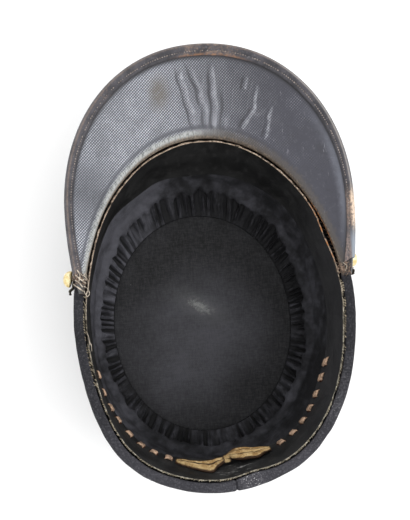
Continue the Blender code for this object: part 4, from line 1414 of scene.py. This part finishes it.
def peak_thickness(place):
    """The leather thins past the binding's two ends."""
    run = max(0.0, (abs(place) - BINDING_END_SHARE) / (1 - BINDING_END_SHARE))
    return PEAK_LEATHER * (1 - PEAK_END_THINNING_SHARE * run)


def peak_crease(point):
    """Height of the peak's folds at a point in plan, with small wrinkles fanned out between them."""
    stray = Vector((waver(point.y, point.x * 0.3, scale=130), waver(point.y, 7.0, scale=60)))
    strayed = point + stray * 0.0011
    total = 0.0
    for start, end, half_width, height in PEAK_FOLDS:
        along = Vector(end) - Vector(start)
        share = (strayed - Vector(start)).dot(along) / along.length_squared
        nearest = min(max(share, 0.0), 1.0)
        off = (strayed - Vector(start) - along * nearest).length
        faded = smooth((share + 0.1) / 0.4) * smooth((1.15 - share) / 0.25)
        total += height * faded * math.exp(-((off / half_width) ** 2))
    fanned = strayed - WRINKLE_MIDDLE
    turn = math.atan2(fanned.x, fanned.y)
    reach = (point - WRINKLE_MIDDLE).length
    wrinkle = max(0.0, 1 - 6.0 * abs(waver(turn * 17, reach * 26, 5.0)))
    field = smooth((point.x + 0.026) / 0.014) * smooth((0.054 - point.x) / 0.016)
    field *= smooth((0.152 - point.y) / 0.016)
    return total + PEAK_WRINKLE * field * wrinkle


def peak_lip(place, reach):
    """Height of the welt along the peak's inner seam, at a reach from the seam."""
    left = mix(0.35, 1.0, smooth((0.10 - place) / 0.25)) * smooth((0.86 - abs(place)) / 0.12)
    welt = smooth(reach / 0.0012) * smooth((WELT_WIDTH - reach) / 0.0018)
    groove = bump_at(reach, 0.0060, 0.0010)
    return left * (WELT_HEIGHT * welt - WELT_GROOVE * groove)


def peak_shell(underside, topside, cut_edge):
    """Stiff leather crescent: its grained underside faces up, its black upper side down."""
    shares = [share ** 1.25 for share in spread(0.0, 1.0, 60)]
    below_shares = shares[:-1:4] + shares[-1:]
    rows = []
    marks = {"reach": [], "crease": [], "gap": []}
    for even in spread(-1.0, 1.0, PEAK_STEPS):
        place = even * mix(0.62, 1.0, even * even)
        up = peak_up(place)
        width = (peak_edge(place) - peak_seat(place).xy).length
        lower = []
        upper = []
        numbers = []
        for share in shares:
            crown, depth = curve_through(PEAK_SECTION, share)
            point = peak_point(place, share, crown)
            swell = waver(point.x, point.y, scale=90)
            ripple = PEAK_RIPPLE * swell * smooth(share / 0.2) * smooth((1 - share) / 0.12)
            crease = peak_crease(point.xy) * depth
            cut = mix(1.0, 0.0, smooth(share * width / PEAK_CUT_REACH))
            square = up.lerp(UP, cut)
            lift = peak_thickness(place) + peak_lip(place, share * width)
            if share in below_shares:
                lower.append(point + up * (crease + ripple))
            upper.append(point + up * (crease + ripple) + square * lift)
            numbers.append((share * width, crease, max(0.0, (1 - share) * width - BINDING_WIDTH)))
        rows.append(lower + upper[::-1])
        for name, column in zip(marks, zip(*numbers[::-1])):
            marks[name].append([0.0] * len(lower) + list(column))
    first = len(rows[0]) - len(shares)
    last = len(rows[0]) - 1

    def slot(i, j):
        if j == last:
            return 2
        return 0 if j >= first else 1

    finishes = [underside, topside, cut_edge]
    made = skin("peak_shell", rows, finishes, round_points=True, capped=True, slot=slot, marks=marks)
    return dress(made, "peak", slot="grained_peak_leather")


def binding_section(place):
    """Frame of the binding at a place of the peak: edge point, inward and up directions, two legs."""
    up = peak_up(place)
    edge = peak_point(place, 1.0)
    inward = (peak_point(place, 0.88, -0.004) - edge).normalized()
    face = rim_point(PEAK_END_BEARING * place, 0.0, BAND_FACE)
    overhang = (edge.xy - face.xy).length
    upper_leg = min(BINDING_WIDTH, 0.75 * overhang + 2 * BINDING_LEATHER)
    lower_leg = min(BINDING_WIDTH, 0.45 * overhang)
    return edge, inward, up, upper_leg, lower_leg


def peak_edge_binding(leather):
    """Leather strip folded round the peak's outer edge, its cut edge slightly wavy."""
    low, high = -CLEARANCE, PEAK_LEATHER + CLEARANCE
    middle, half = (low + high) / 2, (high - low) / 2
    wrap = half + BINDING_LEATHER
    rows = []
    marks = {"edge_wear_and_highlight": [], "inner": []}
    for place in spread(-BINDING_END_SHARE, BINDING_END_SHARE, PEAK_STEPS):
        edge, inward, up, upper_leg, lower_leg = binding_section(place)
        upper_leg += 0.00025 * waver(place * 30, 2.0) + 0.0001 * waver(place * 110, 4.0)
        section = [(lower_leg, low), (-CLEARANCE, low), (-CLEARANCE, high), (upper_leg, high)]
        section += [(upper_leg, high + BINDING_LEATHER * 0.65)]
        edge_wear_and_highlight = [0.0] * len(section)
        inner = [0.0] * (len(section) - 1) + [1.0]
        for share in spread(0.06, 0.96, 15):
            pillow = BINDING_LEATHER * (1.0 + 0.12 * math.sin(math.pi * share))
            sunk = STITCH_SINK * bump_at(share, BINDING_STITCH_LINE, 0.09)
            section.append((upper_leg * (1 - share), high + pillow - sunk))
            edge_wear_and_highlight.append(0.0)
            inner.append(bump_at(share, 0.10, 0.14))
        for a in spread(0, math.pi, 11):
            section.append((-CLEARANCE - wrap * 0.42 * math.sin(a), middle + wrap * math.cos(a)))
            # Mark of the roll's upper face: wear all along it, and a painted highlight on the right
            edge_wear_and_highlight.append(bump_at(a, 0.75, 0.5))
            inner.append(0.0)
        section += [(lower_leg - 0.0004, low - BINDING_LEATHER), (lower_leg, low - BINDING_LEATHER * 0.7)]
        rows.append([edge + inward * along + up * above for along, above in section])
        marks["edge_wear_and_highlight"].append(edge_wear_and_highlight + [0.0, 0.0])
        marks["inner"].append(inner + [0.0, 0.0])
    made = skin("peak_edge_binding", rows, [leather], round_points=True, capped=True, marks=marks)
    return dress(made, "peak_binding", slot="worn_binding_leather")


def binding_stitches(thread):
    """Running stitch along the middle of the binding."""
    route = []
    for place in spread(-0.93, 0.93, 500):
        edge, inward, up, upper_leg, _ = binding_section(place)
        above = PEAK_LEATHER + CLEARANCE + BINDING_LEATHER * 0.88
        route.append((edge + inward * upper_leg * (1 - BINDING_STITCH_LINE) + up * above, up))
    return dress(sewn("binding_stitches", "running_stitch", [route], thread), slot="worn_binding_leather")


def seam_stitches(thread):
    """Dark whip stitches that hold the sweatband's raw edge to the peak."""
    route = []
    for bearing in spread(-76.0, 76.0, 400):
        face = (sweatband_face(bearing, 0.0) - SWEATBAND_LEATHER + PEAK_INSET) / 2
        route.append((rim_point(bearing, -CLEARANCE - PEAK_LEATHER * 0.92, face), UP))
    return dress(sewn("seam_stitches", "whip_stitch", [route], thread), slot="black_leather")


def rim_route(first, last, count, rise, outward):
    """Route along the sweatband's raw edge, off its face by a share of the leather's thickness."""
    route = []
    for bearing in spread(first, last, count):
        face = sweatband_face(bearing, 0.0) - SWEATBAND_LEATHER * outward
        route.append((rim_point(bearing, sweatband_top(bearing) - rise, face), UP))
    return route


def rim_stitches(pale_thread, dull_thread):
    """Overcast stitches that tack the sweatband to the band round the sides and the back."""
    runs = ((80.0, 281.0, 0.6), (244.0, 281.0, 1.5), (80.0, 110.0, 1.3))
    routes = [rim_route(first, last, 500, 0.0001, outward) for first, last, outward in runs]
    torn = rim_route(244.0, 281.0, 120, 0.0004, 0.9)
    fine = sewn("fine_stitches", "overcast_stitch", routes, dull_thread)
    heavy = sewn("torn_stitches", "torn_stitch", [torn], pale_thread)
    return dress(joined("rim_stitches", [fine, heavy]), slot="black_leather")


def strap(leather):
    """Leather strap over the front of the band, its two tails curling off past the buttons."""
    back = BAND_FACE - CLEARANCE
    flat_end = BUTTON_BEARING + STRAP_TAIL_FLAT_ANGLE
    end = BUTTON_BEARING + STRAP_TAIL_END_ANGLE - STRAP_TAIL_WORN_ANGLE
    half = STRAP_WIDTH / 2
    edge = STRAP_LEATHER * 0.35
    rows = []
    for bearing in spread(-end, end, STRAP_STEPS):
        run = max(0.0, (abs(bearing) - flat_end) / (end - flat_end))
        lift = STRAP_TAIL_LIFT * run * (1 + 0.5 * math.sin(5 * run))
        waist = half * (1 - 0.35 * run * run)
        middle = rim_height(bearing) - STRAP_DROP
        front = []
        for rise in spread(-waist + edge, waist - edge, 13):
            stand = back - lift - STRAP_LEATHER
            ridge = 0.0002 * bump_at(abs(rise) / half, 0.78, 0.08) - 0.0002 * waver(bearing * 0.6, rise * 300)
            front.append((stand + ridge, rise))
        sides = [(back - lift - STRAP_LEATHER / 2, waist), (back - lift, waist - edge)]
        rest = [(back - lift, -waist + edge), (back - lift - STRAP_LEATHER / 2, -waist)]
        rows.append([wall_point(bearing, middle + rise, inset) for inset, rise in front + sides + rest])
    made = skin("strap", rows, [leather], round_points=True, capped=True)
    return dress(made, "chin_strap", slot="black_leather")


def side_button(name, node, bearing, brass):
    """Domed brass button with a rolled edge, on its shank."""
    height = rim_height(bearing) - STRAP_DROP
    seat = wall_point(bearing, height, BAND_FACE - CLEARANCE - STRAP_LEATHER - CLEARANCE)
    turn = wall_outward(bearing, height).to_track_quat("Z", "Y")
    shank = 4 * CLEARANCE + STRAP_LEATHER + BAND_CLOTH + CROWN_CLOTH
    full = BUTTON_DOME * BUTTON_FULLNESS
    dome = [
        (BUTTON_RADIUS * math.sin(a), BUTTON_BACK + full * math.cos(a)) for a in spread(0.0, math.pi / 2, 18)
    ]
    dome += [(BUTTON_RADIUS * 0.99, BUTTON_BACK * 0.7), (BUTTON_RADIUS * 0.92, BUTTON_BACK * 0.35)]
    profile = dome + [(BUTTON_RADIUS * 0.45, 0.0), (SHANK_RADIUS, 0.0), (SHANK_RADIUS, -shank), (0.0, -shank)]
    rows = []
    for a in around(48):
        rows.append([seat + turn @ Vector((r * math.cos(a), r * math.sin(a), z)) for r, z in profile])
    return dress(skin(name, rows, [brass], round_rows=True), node, slot="gilt_brass")


def bow_point(bearing, drop, stand):
    return rim_point(bearing, drop, sweatband_face(bearing, drop) + stand)


def ribbon_bow(ribbon):
    """Flat bow tied in the sweatband's ribbon: a creased loop each side of a knot."""
    pieces = []
    for name, table, pleats, depth in BOW_LEAVES:
        rows = []
        darks = []
        last = table[-1][0]
        for bearing in spread(table[0][0], last, 110):
            inner_drop, inner_stand, outer_drop, outer_stand = curve_through(table, bearing)
            ragged = 0.0004 * waver(bearing * 1.1, pleats) + 0.0002 * waver(bearing * 3.1, pleats)
            near_knot = bump_at(bearing, BOW_KNOT_BEARING, 5.5)
            front = []
            back = []
            dark = []
            for share in spread(0.0, 1.0, 41):
                drop = mix(inner_drop, outer_drop, share) + ragged * share
                stand = mix(inner_stand, outer_stand, share)
                wander = 0.07 * waver(bearing * 0.5, share * 2.0, pleats)
                fold = math.cos(math.pi * 2 * pleats * (share - 0.08 + wander))
                sharp = 1 - 2 * abs(fold) ** 0.4 if fold < 0 else 1.0
                crease = (fold * 0.6 + sharp * 0.4) * depth * (0.45 + near_knot)
                crease += 0.0003 * waver(bearing * 0.35, share * 3.0, pleats)
                swell = BOW_SWELL * math.sin(math.pi * share) * (1 - 0.6 * near_knot)
                front.append((drop - crease * 0.5, stand + swell + crease))
                back.append((drop - crease * 0.5 + 0.0005, stand + swell + crease - BOW_CLOTH))
                # Dark mark: darker edges and ends, painted shade in the valleys of the creases and near the
                # knot
                edges = bump_at(share, 0.0, 0.11) + bump_at(share, 1.0, 0.13)
                ends = bump_at(bearing, table[0][0], 0.5) + bump_at(bearing, last, 0.5)
                crease_shade = 0.85 * smooth((-fold - 0.72) / 0.28)
                dark.append(min(1.0, edges + 0.7 * ends + crease_shade + 0.45 * near_knot))
            rows.append([bow_point(bearing, drop, max(stand, 0.0003)) for drop, stand in front + back[::-1]])
            darks.append(dark + [1.0] * len(back))
        pieces.append(skin(name, rows, [ribbon], round_points=True, capped=True, marks={"dark": darks}))
    knot = []
    darks = []
    for bearing in spread(BOW_KNOT_BEARING - BOW_KNOT_HALF_ANGLE, BOW_KNOT_BEARING + BOW_KNOT_HALF_ANGLE, 21):
        across = (bearing - BOW_KNOT_BEARING) / BOW_KNOT_HALF_ANGLE
        ring = []
        for turn in around(24):
            crease = 0.00016 * math.cos(9 * across + 0.6)
            tight = 1 - 0.16 * across * across
            high = BOW_KNOT_HALF_WIDTH * tight * math.cos(turn)
            out = (BOW_KNOT_HALF_DEPTH * tight + crease) * math.sin(turn)
            drop = BOW_KNOT_DROP + 0.64 * high - 0.77 * out
            ring.append(bow_point(bearing, drop, BOW_KNOT_STAND + 0.77 * high + 0.64 * out))
        knot.append(ring)
        # Painted shade on the knot, most on its sides where it wraps round
        darks.append([0.35 + 0.65 * abs(across) ** 3] * len(ring))
    pieces.append(skin("bow_knot", knot, [ribbon], round_points=True, capped=True, marks={"dark": darks}))
    return dress(joined("bow", pieces), "ribbon_bow", slot="tan_ribbon")


def lace_route(side, along):
    """Middles of the lace's bars on one side of the bow, moved along the sweatband by a distance."""
    route = []
    for bearing in LACE_BEARINGS[side]:
        point = bow_point(bearing, LACE_DROP, 0.0)
        ahead = bow_point(bearing + 0.5, LACE_DROP, 0.0) - bow_point(bearing - 0.5, LACE_DROP, 0.0)
        down = bow_point(bearing, LACE_DROP + 0.001, 0.0) - bow_point(bearing, LACE_DROP - 0.001, 0.0)
        up = ahead.cross(down).normalized()
        if up.dot(wall_outward(bearing, point.z)) > 0:
            up = -up
        route.append((point + ahead.normalized() * along + up * 0.0001, up))
    return route


def ribbon_lace(ribbon, slit_thread):
    """Bars of the ribbon where it shows between the sweatband's slits, and the dark slits."""
    middles = [lace_route(side, 0.0) for side in LACE_BEARINGS]
    ends = [lace_route(side, off) for side in LACE_BEARINGS for off in (-LACE_SLIT_OFF, LACE_SLIT_OFF)]
    dress(sewn("lace_bars", "lace_bar", middles, ribbon, lace_bar), slot="tan_ribbon")
    dress(sewn("lace_slits", "lace_slit", ends, slit_thread), slot="black_leather")


def thread_path(knots, height, radius, count):
    """Points of a thread laid over the cap through knots in plan, each with its rise off the surface."""
    rows = [(i, *knot) for i, knot in enumerate(knots)]
    points = []
    for place in spread(0.0, len(knots) - 1, count):
        x, y, rise = curve_through(rows, place)
        points.append(Vector((x, y, height(x, y) + radius * 0.7 + max(rise, 0.0))))
    for _ in range(4):
        for i in range(1, len(points) - 1):
            points[i].z = max(points[i].z, (points[i - 1].z + points[i + 1].z) / 2)
    return points


def twisted_thread(name, points, radius, turns, thread):
    """Two-ply thread along points, its plies twisted round each other."""
    rows = []
    last = len(points) - 1
    for i, point in enumerate(points):
        ahead = (points[min(i + 1, last)] - points[max(i - 1, 0)]).normalized()
        side = ahead.cross(UP).normalized()
        up = side.cross(ahead)
        end = 0.35 + 0.65 * smooth(min(i, last - i) / 3)
        row = []
        for a in around(10):
            ply = radius * end * (0.80 + 0.22 * math.cos(2 * (a - math.pi * turns * i / last)))
            row.append(point + side * ply * math.cos(a) + up * ply * math.sin(a))
        rows.append(row)
    return skin(name, rows, [thread], round_points=True, capped=True)


def loose_threads(height, thread):
    """Broken sewing threads where the peak's two ends meet the rim."""
    pieces = []
    for i, (radius, knots) in enumerate(LOOSE_THREADS):
        points = thread_path(knots, height, radius, 12 * len(knots))
        pieces.append(twisted_thread(f"loose_thread_{i}", points, radius, 3 * len(knots), thread))
    return dress(joined("loose_threads", pieces), slot="worn_binding_leather")


def frayed_ends(height, thread):
    """Short torn fibres of leather at the peak's two ends."""
    draw = random.Random(FRAY_SEED)
    pieces = []
    for x, y, way, count, reach, spread_of_fibres in FRAYED_ENDS:
        for _ in range(count):
            off = (min(max(draw.gauss(0, 1), -1.4), 1.4) for _ in range(2))
            root = Vector((x, y)) + Vector(off) * spread_of_fibres
            turn = math.radians(way + draw.gauss(0, 32))
            length = reach * draw.uniform(0.5, 1.2)
            bend = draw.uniform(-1.2, 1.2)
            knots = [(root.x, root.y, 0.0001)]
            for part in (0.35, 0.7, 1.0):
                angle = turn + bend * part
                knots.append((
                    root.x + math.sin(angle) * length * part, root.y + math.cos(angle) * length * part,
                    0.0005 * part * draw.uniform(0.0, 1.0),
                ))
            radius = draw.uniform(0.00012, 0.00028)
            points = thread_path(knots, height, radius, 10)
            pieces.append(twisted_thread("fibre", points, radius, 2, thread))
    return dress(joined("frayed_ends", pieces), slot="worn_binding_leather")


# Stage

CAMERA_TARGET = Vector((0.0, 0.035, 0.06))
CAMERA_DISTANCE = 1.25
CAMERA_LEAN_LEFT = 4.5
CAMERA_LEAN_BACK = 3.0
CAMERA_TURN = 4.4
CAMERA_LENS = 149.2
CAMERA_SENSOR = 36.0
SKY_STRENGTH = 1.5
KEY_PLACE = (1.3, -0.3, 1.8)
KEY_SIZE = 1.5
KEY_POWER = 17.0
KEY_TARGET = (0.0, 0.0, 0.05)
FLOOR_REACH = 4


def camera():
    """Camera over the cap, leaning a little to the left and to the back, and turned."""
    back = Vector((-math.tan(math.radians(CAMERA_LEAN_LEFT)), -math.tan(math.radians(CAMERA_LEAN_BACK)), 1.0))
    back.normalize()
    ahead = Vector((math.sin(math.radians(CAMERA_TURN)), math.cos(math.radians(CAMERA_TURN)), 0.0))
    right = ahead.cross(back).normalized()
    up = back.cross(right)
    data = bpy.data.cameras.new("camera")
    data.lens = CAMERA_LENS
    data.sensor_fit = "VERTICAL"
    data.sensor_height = CAMERA_SENSOR
    made = placed("camera", data)
    made.matrix_world = Matrix((right, up, back)).transposed().to_4x4()
    made.location = CAMERA_TARGET + back * CAMERA_DISTANCE
    bpy.context.scene.camera = made


def soft_light(name, place, target, size, power):
    """Round light of a size that shines from a place to a target."""
    data = bpy.data.lights.new(name, "AREA")
    data.shape = "DISK"
    data.size = size
    data.energy = power
    made = placed(name, data)
    made.location = place
    made.rotation_euler = (Vector(target) - Vector(place)).to_track_quat("-Z", "Y").to_euler()


def studio():
    paint = Finish("pale_floor")
    paint.finished(paint.blend(paint.noise(0.4), (243, 243, 243), (247, 247, 247)), 0.9)
    mesh = bpy.data.meshes.new("floor")
    corners = [(x * FLOOR_REACH, y * FLOOR_REACH, 0) for x, y in ((-1, -1), (1, -1), (1, 1), (-1, 1))]
    mesh.from_pydata(corners, [], [(0, 1, 2, 3)])
    mesh.materials.append(paint.material)
    placed("floor", mesh)
    world = bpy.data.worlds.new("sky")
    world.use_nodes = True
    sky = world.node_tree.nodes["Background"]
    sky.inputs["Color"].default_value = (1.0, 1.0, 1.0, 1.0)
    sky.inputs["Strength"].default_value = SKY_STRENGTH
    bpy.context.scene.world = world
    soft_light("key", KEY_PLACE, KEY_TARGET, KEY_SIZE, KEY_POWER)
    bpy.context.scene.view_settings.view_transform = "Standard"


wool = wool_cloth()
tip_piece = tip_cover(wool)
wall_piece = crown_wall(wool)
band_piece = rim_band(wool)
sweatband_piece = sweat_leather(sweatband_leather(), raw_leather())
lining_piece = lining_gathers(sateen_cloth())
disc_piece = tip_disc(cotton_cloth())
peak_piece = peak_shell(peak_underside(), peak_topside(), cut_peak_edge())
binding_piece = peak_edge_binding(binding_leather())
strap(strap_leather())
brass = gilt_brass()
side_button("button_left", "side_button_left", -BUTTON_BEARING, brass)
side_button("button_right", "side_button_right", BUTTON_BEARING, brass)
bow_piece = ribbon_bow(ribbon_cloth())
pale_thread = sewing_thread("pale_thread", (196, 184, 168))
dull_thread = sewing_thread("dull_thread", (140, 130, 112))
faded_thread = sewing_thread("faded_thread", (142, 132, 126))
dark_thread = sewing_thread("dark_thread", (48, 36, 28))
binding_stitches(faded_thread)
seam_stitches(dark_thread)
rim_stitches(pale_thread, dull_thread)
lace_thread = sewing_thread("lace_ribbon", (186, 156, 132))
ribbon_lace(lace_thread, sewing_thread("slit_leather", (58, 28, 14)))
over_cap = resting_height((band_piece, sweatband_piece, peak_piece, binding_piece))
loose_threads(over_cap, pale_thread)
frayed_ends(over_cap, sewing_thread("torn_fibre", (134, 114, 100)))
camera()
studio()
